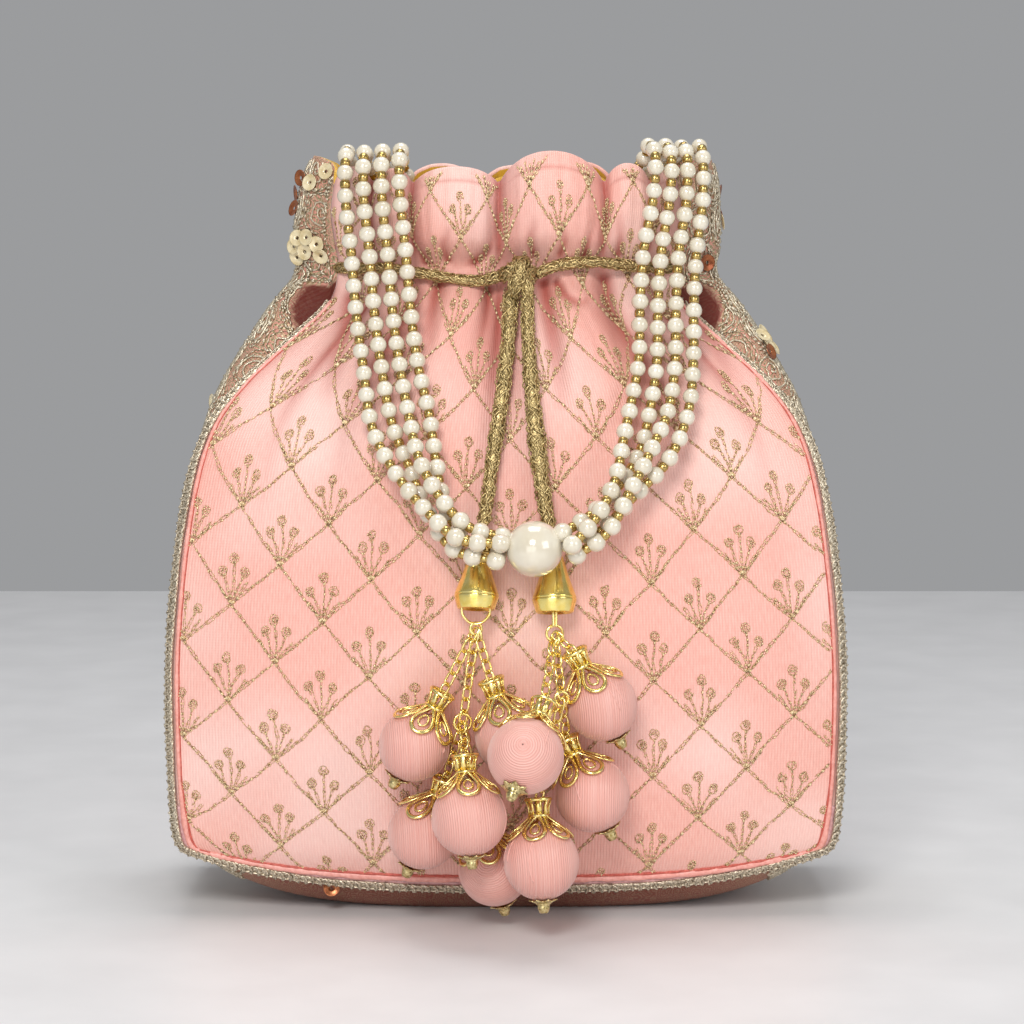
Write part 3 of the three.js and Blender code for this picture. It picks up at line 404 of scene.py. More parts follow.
# Posts and rings of the collar: radius and height over the ball, and half thickness of the two rings
COLLAR_POST = [(COLLAR_NECK, 2.5), (COLLAR_NECK + 0.2, 4.8), (COLLAR_MOUTH, COLLAR_TOP - 0.3)]
COLLAR_RINGS = [(*COLLAR_POST[0], 0.5), (*COLLAR_POST[2], 0.4)]
# Plate that closes the collar: radius and height over the ball
COLLAR_PLATE = [(0.0, 1.9), (2.6, 2.1), (2.7, 2.6), (0.0, 2.6)]
# Leaves under a ball: how far out, how far below the ball, and half width. Layers: size and turn
TIP_LEAVES = 7
LEAF_OUT = np.array([1.0, 1.9, 2.8, 3.6, 4.2])
LEAF_DROP = np.array([1.2, 0.8, 0.5, 0.4, 0.5])
LEAF_HALF = np.array([0.7, 1.2, 1.2, 0.75, 0.06])
LEAF_LAYERS = [(1.0, 0.0), (0.8, math.pi / TIP_LEAVES)]
# Tube bead under a ball: radius and height from the ball's underside
TIP_BEAD = [
    (0.0, -0.2), (2.1, -0.5), (2.2, -0.9), (1.7, -1.3), (1.85, -1.7), (1.7, -2.3), (1.3, -3.4), (0.95, -3.6),
    (0.8, -3.0), (0.0, -2.8),
]
# Chains: how deep they reach into a collar, the hub under each bell and the ring below it
CHAIN_SEAT = 1.0
HUB_DROP = np.array([0.0, -1.0, -5.4])
CHAIN_RINGS = {"left": np.array([-12.4, -57.0, 62.0]), "right": np.array([16.0, -63.0, 70.0])}
RING_SIZES = {"left": {"hub": 1.7, "ring": 2.5}, "right": {"hub": 2.4, "ring": 2.0}}
# Wires under each bell, from its foot: an open loop on the left, a short double stem on the right
BELL_WIRES = {
    "left": [[(-4.1, -0.4, 1.2), (-3.9, -0.7, -1.2), (-2.0, -0.9, -3.4), (0.0, -1.0, -4.0), (2.0, -0.9, -3.4),
              (3.9, -0.7, -1.2), (4.1, -0.4, 1.2)]],
    "right": [[(-0.45, 0.0, 1.5), (-0.42, -0.6, -1.5), (-0.4, -1.0, -3.4)],
              [(0.45, 0.0, 1.5), (0.42, -0.6, -1.5), (0.4, -1.0, -3.4)]],
}
# Links: half length, half width and radius of the wire
LINK_HALF = 2.05
LINK_WIDE = 1.4
LINK_WIRE = 0.38
LINK_POINTS = 18
RING_POINTS = 24
RING_WIRE = 0.45
BELL_WIRE = 0.42

# Silks: light and dark colours, the colour of the painted shade in their folds and hollows, and width of a
# rib
SILK = ((0.92, 0.55, 0.475), (0.78, 0.34, 0.28), (0.38, 0.05, 0.032), 0.9)
GUSSET_SILK = ((0.76, 0.40, 0.32), (0.54, 0.23, 0.17), (0.12, 0.018, 0.012), 0.7)
LINING_SATIN = ((0.76, 0.46, 0.05), (0.60, 0.33, 0.03), (0.36, 0.15, 0.01), 0.5)
# Whitish colour of the painted sheen patches on the silk
SILK_PAINTED_SHEEN = (1.0, 0.88, 0.84)
# Metal thread in the net on the gusset: dark and light
NET_THREAD = ((0.22, 0.15, 0.07), (0.70, 0.58, 0.38))
# Thread on the balls: dark and light strands, faded places, and the painted shade in the gaps between the
# turns
WOUND_DARK = (0.76, 0.35, 0.29)
WOUND_LIGHT = (0.85, 0.49, 0.43)
WOUND_FADED = (0.86, 0.54, 0.48)
WOUND_GAP_SHADE = (0.64, 0.22, 0.18)

# Materials with one grain: dark and light colour, scale, roughness, metal share, bump, its depth, the rest
SATIN = {"Sheen Weight": 0.4, "Sheen Roughness": 0.3}
LUSTRE = {"Coat Weight": 1.0, "Coat Roughness": 0.05, "Specular IOR Level": 0.9}
LACQUER = {"Coat Weight": 0.5, "Coat Roughness": 0.1}
GRAINED = {
    "pink_satin": ((0.76, 0.30, 0.25), (0.90, 0.46, 0.40), 900, (0.30, 0.42), 0.0, 0.2, 0.0002, SATIN),
    # Coral thread beside the piping: stitching, and a painted shadow line
    "coral_thread": ((0.42, 0.06, 0.04), (0.66, 0.15, 0.11), 1200, (0.40, 0.55), 0.0, 0.2, 0.0002, {}),
    "lilac_satin": ((0.50, 0.24, 0.24), (0.70, 0.42, 0.42), 900, (0.30, 0.42), 0.0, 0.2, 0.0002, SATIN),
    "zari_thread": ((0.46, 0.26, 0.11), (1.0, 0.86, 0.56), 1700, (0.26, 0.45), 0.5, 0.5, 0.0002, {}),
    "lace_thread": ((0.36, 0.28, 0.17), (0.95, 0.87, 0.70), 1500, (0.26, 0.42), 0.55, 0.5, 0.0002, {}),
    "braid_thread": ((0.17, 0.12, 0.07), (0.95, 0.85, 0.67), 1600, (0.24, 0.42), 0.6, 0.5, 0.0002, {}),
    "cord_thread": ((0.16, 0.10, 0.03), (0.74, 0.58, 0.28), 1900, (0.22, 0.42), 0.75, 0.7, 0.0003, {}),
    "pearl": ((0.66, 0.59, 0.45), (0.78, 0.73, 0.61), 110, (0.14, 0.2), 0.0, 0.02, 0.0001, LUSTRE),
    "polished_gold": ((0.93, 0.72, 0.22), (1.0, 0.86, 0.40), 500, (0.16, 0.26), 1.0, 0.08, 0.0001, {}),
    "bell_gold": ((0.95, 0.72, 0.17), (1.0, 0.85, 0.33), 500, (0.14, 0.24), 1.0, 0.06, 0.0001, {}),
    "spacer_gold": ((0.34, 0.22, 0.06), (0.72, 0.53, 0.20), 1600, (0.16, 0.3), 0.9, 0.2, 0.0001, {}),
    "star_brass": ((0.34, 0.25, 0.08), (0.88, 0.75, 0.40), 1300, (0.2, 0.38), 1.0, 0.5, 0.0002, {}),
    "cream_sequin": ((0.66, 0.52, 0.27), (0.92, 0.81, 0.55), 400, (0.18, 0.3), 0.15, 0.06, 0.0001, LACQUER),
    "copper_sequin": ((0.24, 0.06, 0.02), (0.50, 0.18, 0.07), 400, (0.2, 0.32), 0.6, 0.06, 0.0001, {}),
    "floor": ((0.74, 0.74, 0.75), (0.79, 0.79, 0.80), 30, (0.42, 0.5), 0.0, 0.02, 0.0002, {}),
}


# Points and paths

def unit(vectors):
    vectors = np.asarray(vectors, float)
    return vectors / np.maximum(np.linalg.norm(vectors, axis=-1, keepdims=True), 1e-9)


def hump(value, middle, spread):
    """A smooth rise to one round a middle."""
    return np.exp(-(((value - middle) / spread) ** 2))


def lengths_along(points):
    steps = np.linalg.norm(np.diff(points, axis=0), axis=1)
    return np.concatenate([[0.0], np.cumsum(steps)])


def read_along(at, along, points):
    """Points of a path at given lengths along it."""
    return np.stack([np.interp(at, along, column) for column in points.T], axis=1)


def resample(points, count):
    along = lengths_along(points)
    return read_along(np.linspace(0, along[-1], count), along, points)


def smooth_step(t, first, last, slope_first, slope_last):
    """A cubic from first to last with the given slopes at its ends."""
    return ((2 * t**3 - 3 * t**2 + 1) * first + (t**3 - 2 * t**2 + t) * slope_first
            + (3 * t**2 - 2 * t**3) * last + (t**3 - t**2) * slope_last)


def spline(points, parts=12):
    """A smooth curve through all points."""
    p = np.asarray(points, float)
    p = np.vstack([2 * p[0] - p[1], p, 2 * p[-1] - p[-2]])
    t = (np.arange(parts) / parts)[:, None]
    runs = []
    for i in range(1, len(p) - 2):
        d0, d1, d2 = (np.linalg.norm(p[k + 1] - p[k]) ** 0.5 for k in (i - 1, i, i + 1))
        before = (p[i] - p[i - 1]) / d0 - (p[i + 1] - p[i - 1]) / (d0 + d1)
        after = (p[i + 2] - p[i + 1]) / d2 - (p[i + 2] - p[i]) / (d1 + d2)
        middle = (p[i + 1] - p[i]) / d1
        runs.append(smooth_step(t, p[i], p[i + 1], (before + middle) * d1, (after + middle) * d1))
    return np.vstack([*runs, p[-2][None]])


def tangents(points, closed=False):
    if closed:
        return unit(np.roll(points, -1, 0) - np.roll(points, 1, 0))
    return unit(np.gradient(points, axis=0))


def carried(points, first):
    """A direction across the path at each point, carried along without twist."""
    ups = []
    up = np.asarray(first, float)
    for t in tangents(points):
        up = up - t * np.dot(up, t)
        up = up / max(np.linalg.norm(up), 1e-9)
        ups.append(up)
    return np.array(ups)


def circle(count):
    """Points of a circle of radius one round +Z."""
    angle = 2 * np.pi * np.arange(count) / count
    return np.stack([np.cos(angle), np.sin(angle), np.zeros(count)], axis=1)


def turn_to(direction, roll=0.0):
    """A turn that takes +Z to a direction."""
    z = unit(direction)
    guess = np.array([1.0, 0.0, 0.0]) if abs(z[0]) < 0.9 else np.array([0.0, 1.0, 0.0])
    x = unit(guess - z * np.dot(guess, z))
    y = np.cross(z, x)
    c, s = math.cos(roll), math.sin(roll)
    return np.stack([x * c + y * s, y * c - x * s, z], axis=1)


# Meshes

def grid_faces(rows, columns, wrap_rows=False, wrap_columns=False):
    r = np.arange(rows if wrap_rows else rows - 1)
    c = np.arange(columns if wrap_columns else columns - 1)
    r, c = np.meshgrid(r, c, indexing="ij")
    r2 = (r + 1) % rows
    c2 = (c + 1) % columns
    quads = [r * columns + c, r * columns + c2, r2 * columns + c2, r2 * columns + c]
    return np.stack(quads, axis=-1).reshape(-1, 4)


def sweep(points, ups, wide, tall, sides, closed=False):
    """A round or flattened strand along a path."""
    count = len(points)
    along = tangents(points, closed)
    side = unit(np.cross(along, ups))
    up = np.cross(side, along)
    wide = np.broadcast_to(wide, (count,))[:, None, None]
    tall = np.broadcast_to(tall, (count,))[:, None, None]
    ring = circle(sides)
    verts = points[:, None] + side[:, None] * ring[None, :, :1] * wide
    verts = (verts + up[:, None] * ring[None, :, 1:2] * tall).reshape(-1, 3)
    faces = [grid_faces(count, sides, wrap_rows=closed, wrap_columns=True)]
    if not closed:
        k = np.arange(sides)
        k2 = (k + 1) % sides
        end = (count - 1) * sides
        first = np.full(sides, len(verts))
        faces.append(np.stack([first, k2, k], axis=1))
        faces.append(np.stack([first + 1, end + k, end + k2], axis=1))
        verts = np.vstack([verts, points[:1], points[-1:]])
    return verts, faces


def turned(profile, sides, closed=False):
    """A turned shape round +Z from (radius, height) rows."""
    profile = np.asarray(profile, float)
    verts = profile[:, None, :1] * circle(sides)[None]
    verts[..., 2] = profile[:, 1:]
    return verts.reshape(-1, 3), [grid_faces(len(profile), sides, wrap_rows=closed, wrap_columns=True)]


class Heap:
    """Meshes gathered into one."""

    def __init__(self):
        self.points = []
        self.faces = []
        self.count = 0

    def add(self, points, faces):
        self.points.append(points)
        self.faces.extend(f + self.count for f in faces)
        self.count += len(points)

    def copies(self, form, places, turns):
        points, faces = form
        moved = np.einsum("nij,vj->nvi", np.asarray(turns), points) + np.asarray(places)[:, None]
        shift = (np.arange(len(moved)) * len(points))[:, None, None]
        self.add(moved.reshape(-1, 3), [(f[None] + shift).reshape(-1, f.shape[1]) for f in faces])

    def hoop(self, spokes, centre, radius, wide, tall, sides):
        """A ring of wire round a centre; the spokes are directions of length one."""
        self.add(*sweep(spokes * radius + centre, spokes, wide, tall, sides, closed=True))

    def form(self):
        return np.vstack(self.points), self.faces

    def piece(self, name, look, slot, stands_for=()):
        return make_piece(name, self.form(), [look], stands_for)


def make_piece(name, form, looks, stands_for=(), uv=None, painted_shade=None, parts=None):
    """A mesh object that rides on the bag; parts gives the index of each face's look."""
    points, faces = form
    mesh = bpy.data.meshes.new(name)
    loops = np.concatenate([f.ravel() for f in faces]).astype(np.int32)
    sizes = np.concatenate([np.full(len(f), f.shape[1]) for f in faces])
    starts = np.concatenate([[0], np.cumsum(sizes)[:-1]]).astype(np.int32)
    mesh.vertices.add(len(points))
    mesh.vertices.foreach_set("co", (np.asarray(points) * MM).astype(np.float32).ravel())
    mesh.loops.add(len(loops))
    mesh.loops.foreach_set("vertex_index", loops)
    mesh.polygons.add(len(starts))
    mesh.polygons.foreach_set("loop_start", starts)
    mesh.update(calc_edges=True)
    mesh.polygons.foreach_set("use_smooth", np.ones(len(starts), bool))
    for look in looks:
        mesh.materials.append(materials[look])
    if parts is not None:
        mesh.polygons.foreach_set("material_index", parts.astype(np.int32))
    if uv is not None:
        layer = mesh.uv_layers.new(name="cloth")
        layer.data.foreach_set("uv", uv[loops].astype(np.float32).ravel())
    # Share of painted shade at each point, read by the silk looks as the fold attribute
    if painted_shade is not None:
        layer = mesh.attributes.new("fold", "FLOAT", "POINT")
        layer.data.foreach_set("value", painted_shade.astype(np.float32))
    piece = bpy.data.objects.new(name, mesh)
    bpy.context.scene.collection.objects.link(piece)
    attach(piece, BODY)
    if stands_for:
        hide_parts(*stands_for)
    return piece


def placed_piece(name, form, place, turn, look, stands_for):
    """One form turned and moved to its place."""
    points, faces = form
    return make_piece(name, (points @ turn.T + place, faces), [look], stands_for)


# Looks

materials = {}


class Look:
    """A principled material, with its detail added by nodes."""

    def __init__(self, name, colour, roughness, metallic=0.0, sockets=()):
        material = bpy.data.materials.new(name)
        material.use_nodes = True
        materials[name] = material
        self.tree = material.node_tree
        self.surface = self.tree.nodes["Principled BSDF"]
        plain = {"Base Color": (*colour, 1.0), "Roughness": roughness, "Metallic": metallic}
        for key, value in {**plain, **dict(sockets)}.items():
            self.put(self.surface, key, value)

    def put(self, node, key, value):
        """Link an input to another node, or give it a plain value."""
        if isinstance(value, bpy.types.NodeSocket):
            self.tree.links.new(value, node.inputs[key])
        else:
            node.inputs[key].default_value = value

    def node(self, kind, inputs=(), **settings):
        made = self.tree.nodes.new(kind)
        for key, value in settings.items():
            setattr(made, key, value)
        for key, value in dict(inputs).items():
            self.put(made, key, value)
        return made

    def spot(self, scale=(1, 1, 1), cloth=False):
        """Coordinates: metres on the object, or the flat coordinates of the cloth."""
        source = self.node("ShaderNodeUVMap", uv_map="cloth") if cloth else self.node("ShaderNodeTexCoord")
        socket = source.outputs["UV"] if cloth else source.outputs["Object"]
        return self.node("ShaderNodeMapping", {"Vector": socket, "Scale": scale}).outputs["Vector"]

    def noise(self, spot, scale, detail=2.0):
        made = self.node("ShaderNodeTexNoise", {"Vector": spot, "Scale": scale, "Detail": detail})
        return made.outputs["Fac"]

    def wave(self, spot, scale, distortion, direction="X", fine=1.0):
        inputs = {"Vector": spot, "Scale": scale, "Distortion": distortion, "Detail Scale": fine}
        return self.node("ShaderNodeTexWave", inputs, bands_direction=direction).outputs["Fac"]

    def ramp(self, value, low, high, start=0.3, end=0.7):
        made = self.node("ShaderNodeValToRGB", {"Fac": value})
        for element, position, colour in zip(made.color_ramp.elements, (start, end), (low, high)):
            element.position = position
            element.color = (*colour, 1.0)
        return made.outputs["Color"]

    def mix(self, share, first, second):
        """A colour between two; each is a plain colour or comes from a node."""
        made = self.node("ShaderNodeMix", data_type="RGBA")
        for index, value in ((0, share), (6, first), (7, second)):
            self.put(made, index, (*value, 1.0) if isinstance(value, tuple) else value)
        return made.outputs[2]

    def math(self, operation, first, second=0.0):
        return self.node("ShaderNodeMath", {0: first, 1: second}, operation=operation).outputs["Value"]

    def times(self, first, second):
        return self.math("MULTIPLY", first, second)

    def plus(self, first, second):
        return self.math("ADD", first, second)

    def rough(self, value, low, high):
        made = self.node("ShaderNodeMapRange", {"Value": value, "To Min": low, "To Max": high})
        self.put(self.surface, "Roughness", made.outputs["Result"])

    def colour(self, socket):
        self.put(self.surface, "Base Color", socket)

    def bump(self, height, strength, distance):
        made = self.node("ShaderNodeBump", {"Height": height, "Strength": strength, "Distance": distance})
        self.put(self.surface, "Normal", made.outputs["Normal"])


def grained(name, low, high, scale, rough, metallic, bump, depth, sockets):
    """A material whose colour, gloss and surface vary at one scale."""
    look = Look(name, high, rough[0], metallic, sockets)
    value = look.noise(look.spot(), scale, 3.0)
    look.colour(look.ramp(value, low, high))
    look.rough(value, *rough)
    look.bump(value, bump, depth)


def silk_look(name, light, dark, deep, rib, net=0.0, sheen=0.3, specular=0.45, painted_sheen=0.0):
    """Silk with fine ribs and slubs, painted shade in the folds, and painted sheen in large pale patches; net
    lays loops of metal thread over it.
    """
    look = Look(name, light, 0.5, sockets={
        "Sheen Weight": sheen, "Sheen Roughness": 0.35, "Specular IOR Level": specular})
    flat = look.spot((100, 100, 1), cloth=True)
    warp = look.wave(flat, 0.314 / rib, 0.7, fine=0.8)
    weft = look.wave(flat, 0.36 / rib, 0.5, "Y")
    slub = look.noise(look.spot((240, 34, 1), cloth=True), 1.0, 3.0)
    blotch = look.noise(flat, 0.04)
    weave = look.plus(look.times(warp, 0.75), look.times(weft, 0.25))
    cloth = look.ramp(slub, dark, light, 0.05, 0.6)
    cloth = look.mix(look.times(weave, 0.55), cloth, dark)
    cloth = look.mix(look.times(blotch, 0.3), cloth, dark)
    # Painted sheen: large whitish patches that stand in for the silk's highlights
    painted_sheen_share = look.node("ShaderNodeMapRange", {
        "Value": look.noise(flat, 0.018, 1.0), "From Min": 0.42, "From Max": 0.66, "To Max": painted_sheen})
    cloth = look.mix(painted_sheen_share.outputs["Result"], cloth, SILK_PAINTED_SHEEN)
    # Painted shade: the fold attribute mixes in the shade colour in folds, valleys, hollows and under the bag
    fold = look.node("ShaderNodeAttribute", attribute_name="fold").outputs["Fac"]
    cloth = look.mix(fold, cloth, deep)
    relief = look.plus(weave, look.times(slub, 0.6))
    if net:
        mask = net_mask(look, flat, fold, net)
        cloth = look.mix(mask, cloth, look.ramp(look.noise(flat, 1.6), *NET_THREAD))
        relief = look.plus(relief, look.times(mask, 2.0))
        look.put(look.surface, "Metallic", look.times(mask, 0.55))
    look.colour(cloth)
    look.bump(relief, 0.4, 0.00025)
    look.rough(slub, 0.55, 0.4)


def net_mask(look, flat, fold, share):
    """Where loops of metal thread cover the cloth, outside the painted shade of the folds and hollows."""
    cells = look.node("ShaderNodeTexVoronoi", {"Vector": flat, "Scale": 0.3}).outputs["Distance"]
    swirl = look.plus(look.times(cells, 17.0), look.times(look.noise(flat, 0.5), 5.0))
    loops = look.math("POWER", look.math("ABSOLUTE", look.math("SINE", swirl)), 0.7)
    return look.times(look.math("GREATER_THAN", loops, 1 - share), look.math("SUBTRACT", 1.0, fold))


def thread_look(name):
    """Pink silk thread wound round and round."""
    look = Look(name, WOUND_LIGHT, 0.45, sockets={"Sheen Weight": 0.35, "Sheen Roughness": 0.35})
    turns = look.wave(look.spot(cloth=True), 14.0, 0.6, "Y", fine=0.3)
    strand = look.noise(look.spot((1, 90, 1), cloth=True), 1.0, 4.0)
    blotch = look.noise(look.spot(), 90.0)
    cloth = look.ramp(strand, WOUND_DARK, WOUND_LIGHT)
    cloth = look.mix(look.times(blotch, 0.3), cloth, WOUND_FADED)
    # Painted shade in the gaps between the turns
    look.colour(look.mix(look.times(turns, 0.26), cloth, WOUND_GAP_SHADE))
    look.bump(turns, 0.5, 0.0003)
    look.rough(strand, 0.46, 0.36)


for look_name, look_row in GRAINED.items():
    grained(look_name, *look_row)
silk_look("silk", *SILK, painted_sheen=0.32)
silk_look("gusset_silk", *GUSSET_SILK, net=0.26, sheen=0.0, specular=0.12)
silk_look("lining_satin", *LINING_SATIN)
thread_look("wound_thread")


# Camera

def aim(name, data, place, target):
    """A camera or a light that is turned to a target."""
    made = bpy.data.objects.new(name, data)
    made.location = place
    made.rotation_mode = "QUATERNION"
    made.rotation_quaternion = (Vector(target) - Vector(place)).to_track_quat("-Z", "Y")
    bpy.context.scene.collection.objects.link(made)
    return made


camera = aim("camera", bpy.data.cameras.new("camera"), CAMERA_PLACE, CAMERA_TARGET)
camera.data.lens = CAMERA_LENS
camera.data.sensor_width = SENSOR_WIDTH
bpy.context.scene.camera = camera


# Cords and bells

def plait(heap, path, wide, tall):
    """A loosely knitted cord: flat strands in both directions that pass over and under each other."""
    points = resample(path, cord_count(path))
    count = len(points)
    along = lengths_along(points)
    up = carried(points, (0.0, -1.0, 0.2))
    side = np.cross(tangents(points), up)
    uneven = sum(share * np.sin(along / spacing) for share, spacing in CORD_UNEVEN)
    wide = np.broadcast_to(wide, (count,)) * (1 + uneven)
    tall = np.broadcast_to(tall, (count,))
    (slow, slow_step), (quick, quick_step) = STRAND_SWAY
    for way in (1, -1):
        for k in range(CORD_STRANDS):
            sway = slow * np.sin(along / slow_step + 2.1 * k)
            sway = sway + quick * np.sin(along / quick_step + 1.3 * k * way)
            angle = way * 2 * np.pi * along / CORD_PITCH + 2 * np.pi * k / CORD_STRANDS + sway
            over = 0.84 + 0.16 * way * np.cos(2 * np.pi * along * CORD_STRANDS / CORD_PITCH)
            out = up * (np.cos(angle) * tall)[:, None] + side * (np.sin(angle) * wide)[:, None]
            heap.add(*sweep(points + out * over[:, None], unit(out), *CORD_STRAND, 5))
    heap.add(*sweep(points, up, wide * CORD_CORE, tall * CORD_CORE, 8))


def cord_count(path):
    """How many points a knitted cord has along its path."""
    return int(lengths_along(path)[-1] / CORD_STEP) + 2


def cord_piece(name, runs, stands_for):
    """One piece of several cords: path, half width and half thickness of each."""
    heap = Heap()
    for path, wide, tall in runs:
        plait(heap, path, wide, tall)
    return heap.piece(name, "cord_thread", "cord", [stands_for])


for side_name, route in TAIL_ROUTES.items():
    line = spline(route)
    wide = np.interp(np.linspace(0, 1, cord_count(line)), *TAIL_WIDTHS[side_name])
    cord_piece(
        f"cord_tail_braid_{side_name}", [(line, wide, TAIL_TALL)], f"cord_tail_{side_name}")

bell_form = turned([(radius, -drop) for radius, drop in BELL_PROFILE], 64)
for side_name, (top, foot) in BELLS.items():
    placed_piece(
        f"bell_turned_{side_name}", bell_form, top, turn_to(top - foot), "bell_gold",
        [f"bell_{side_name}"])

for side_name, route in TAIL_ROUTES.items():
    line = spline(route) * MM

cord_piece("drawstring_braid", [(spline(CORD_ROUTE), *DRAWSTRING_SIZE)], "drawstring")
knot_runs = [(spline(np.array(route) + KNOT_CENTRE), wide, KNOT_TALL) for route, wide in KNOT_ROUTES]
cord_piece("drawstring_knot_braid", knot_runs, "drawstring_knot")


# Cloth forms

def read_table(column, at):
    """A column of the sections at any height, with smooth steps between the rows."""
    heights = SECTIONS[:, 0]
    values = SECTIONS[:, column]
    slope = np.gradient(values, heights)
    slope[1:-1] = (values[2:] - values[:-2]) / (heights[2:] - heights[:-2])
    at = np.clip(at, heights[0], heights[-1])
    i = np.clip(np.searchsorted(heights, at) - 1, 0, len(heights) - 2)
    span = heights[i + 1] - heights[i]
    t = (at - heights[i]) / span
    return smooth_step(t, values[i], values[i + 1], span * slope[i], span * slope[i + 1])


def ruffle_share(level):
    """Zero at the cord and below, one at the ruffle's edge."""
    return np.clip((level - BODY_TOP) / (PANEL_TOP - BODY_TOP), 0, 1)


def gathers(facing, u):
    """Swell and crest of the puff at each place, its arch, and the share of the way across it."""
    puffs = PUFFS[facing]
    place = np.clip(u * NECK_HALF, -NECK_HALF, NECK_HALF)
    i = np.clip(np.searchsorted(puffs[:, 1], place), 0, len(puffs) - 1)
    t = (place - puffs[i, 0]) / (puffs[i, 1] - puffs[i, 0])
    arch = np.maximum(np.sin(np.pi * t), 0) ** ARCH_POWER
    return puffs[i, 2], puffs[i, 3], arch, t


def panel_depth(facing, u, height):
    swell, _, arch, _ = gathers(facing, u)
    pillow = 1 - np.abs(u) ** PILLOW_POWER
    return (read_table(SEAM_DEPTH, height) + read_table(BULGE, height) * pillow
            + read_table(PUCKER, height) * swell * arch)


def pressed(facing, u, level):
    """How far the folds press the cloth in, and how strong the painted shade in them is."""
    z = SEAM_FLOOR + level
    x = -facing * u * read_table(SEAM_HALF, z)
    press = np.zeros(np.shape(x))
    shade_share = np.zeros(np.shape(x))
    for points, depth, width in FOLDS:
        line = spline(points, 18)
        apart = np.hypot(x[..., None] - line[:, 0], z[..., None] - line[:, 1])
        fade = np.linspace(1, FOLD_END, len(line))[apart.argmin(axis=-1)]
        near = apart.min(axis=-1) / width
        press += depth * fade * hump(near, 0, 1)
        shade_share = np.maximum(shade_share, fade * hump(near, 0, FOLD_SHADE_WIDTH))
    return press, shade_share


def creases(facing, u, level):
    """Pleats at the neck, a soft unevenness, pulled stitches at the bottom seam, the hem and the folds."""
    sway = 0.9 * np.sin(level / 13) + 0.6 * np.sin(level / 5.3 + facing)
    pleats = sum(depth * np.sin(u * NECK_HALF / step + turn * sway) for depth, step, turn in PLEATS)
    pleats = pleats * read_table(PUCKER, SEAM_FLOOR + level)
    soft = np.sin(5.1 * u + level / 31 + facing) * np.sin(level / 23 + 2.7 * u)
    soft = soft + 0.5 * np.sin(11 * u - level / 17) * np.sin(level / 11 + 4 * u)
    ruffle = ruffle_share(level)
    soft = soft + RUFFLE_ROLL[0] * np.sin(np.pi * ruffle**0.7) - RUFFLE_ROLL[1] * ruffle**2
    depth, tall, step = SEAM_PULL
    pulled = depth * np.exp(-level / tall) * np.sin(u * PANEL_HALF * 2 * np.pi / step)
    hem = HEM_DEPTH * hump(level, HEM_LEVEL, HEM_HALF)
    inside = 1 - np.abs(u) ** 8
    return inside * (pleats + UNEVEN * soft + pulled - hem - pressed(facing, u, level)[0])


def panel_points(facing, u, level):
    u, level = np.broadcast_arrays(u, level)
    swell, crest, arch, t = gathers(facing, u)
    height = SEAM_FLOOR + level
    ruffle = ruffle_share(level)
    top = RUFFLE_TOP - VALLEY_DIP + (VALLEY_DIP + crest) * arch
    fade = np.maximum(0, 1 - level / CORNER_FADE)
    body = height + CORNER_RISE * np.abs(u) ** 3 * fade**2
    z = np.where(ruffle > 0, CORD_LEVEL + (top - CORD_LEVEL) * ruffle, body)
    overhang = -PUFF_OVERHANG * np.sin(2 * np.pi * t) * read_table(PUCKER, height) * swell / FULL_SWELL
    x = u * read_table(SEAM_HALF, height) + overhang
    y = facing * (panel_depth(facing, u, height) + creases(facing, u, level))
    return np.stack([x, y, z], axis=-1)


def panel_painted_shade(facing, u, level):
    """Share of painted shade: between puffs, at the seam, in folds, at the hem and under the cord."""
    height = SEAM_FLOOR + level
    _, _, arch, _ = gathers(facing, u)
    valleys = VALLEY_PAINTED_SHADE * (1 - arch) ** 1.6 * np.clip(read_table(PUCKER, height) * 1.3, 0, 1)
    shade_share = np.maximum(valleys, SEAM_PAINTED_SHADE * np.exp(-level / 1.6))
    shade_share = np.maximum(shade_share, FOLD_PAINTED_SHADE * pressed(facing, u, level)[1])
    shade_share = np.maximum(shade_share, HEM_PAINTED_SHADE * hump(level, HEM_LEVEL, 0.45))
    middle, spread, share = UNDER_CORD_PAINTED_SHADE
    return np.minimum(shade_share + share * hump(height, middle, spread), 1)


def normals_of(grid, way):
    rows = np.gradient(grid, axis=0)
    columns = np.gradient(grid, axis=1)
    return way * unit(np.cross(columns, rows))


def walled(outer, normals, rim):
    """A closed cloth wall with a rounded rim along its last row, and flags for the faces inside the bag."""
    inner = outer - normals * CLOTH_WALL
    middle = (outer[-1] + inner[-1]) / 2
    up = unit(outer[-1] - outer[-2])
    bend = [middle + CLOTH_WALL / 2 * (np.cos(a) * normals[-1] + np.sin(a) * up)
            for a in np.linspace(0, np.pi, rim + 2)[1:-1]]
    rows = np.concatenate([outer, np.array(bend), inner[::-1]])
    count, columns = rows.shape[:2]
    faces = grid_faces(count, columns, wrap_rows=True)
    r = np.arange(count // 2)
    low = r * columns
    high = (count - 1 - r) * columns
    cap = np.stack([low[:-1], low[1:], high[1:], high[:-1]], axis=1)
    caps = [cap, (cap + columns - 1)[:, ::-1]]
    lined = np.repeat(np.arange(count) >= len(outer) + rim, columns - 1)
    parts = np.concatenate([lined, np.zeros(2 * len(cap), bool)])
    return rows.reshape(-1, 3), [faces, *caps], parts


def there_and_back(rows, rim):
    """Values of the rows of a walled cloth: up the outside, over the rim and down the inside."""
    return np.concatenate([rows, np.full(rim, rows[-1]), rows[::-1]])


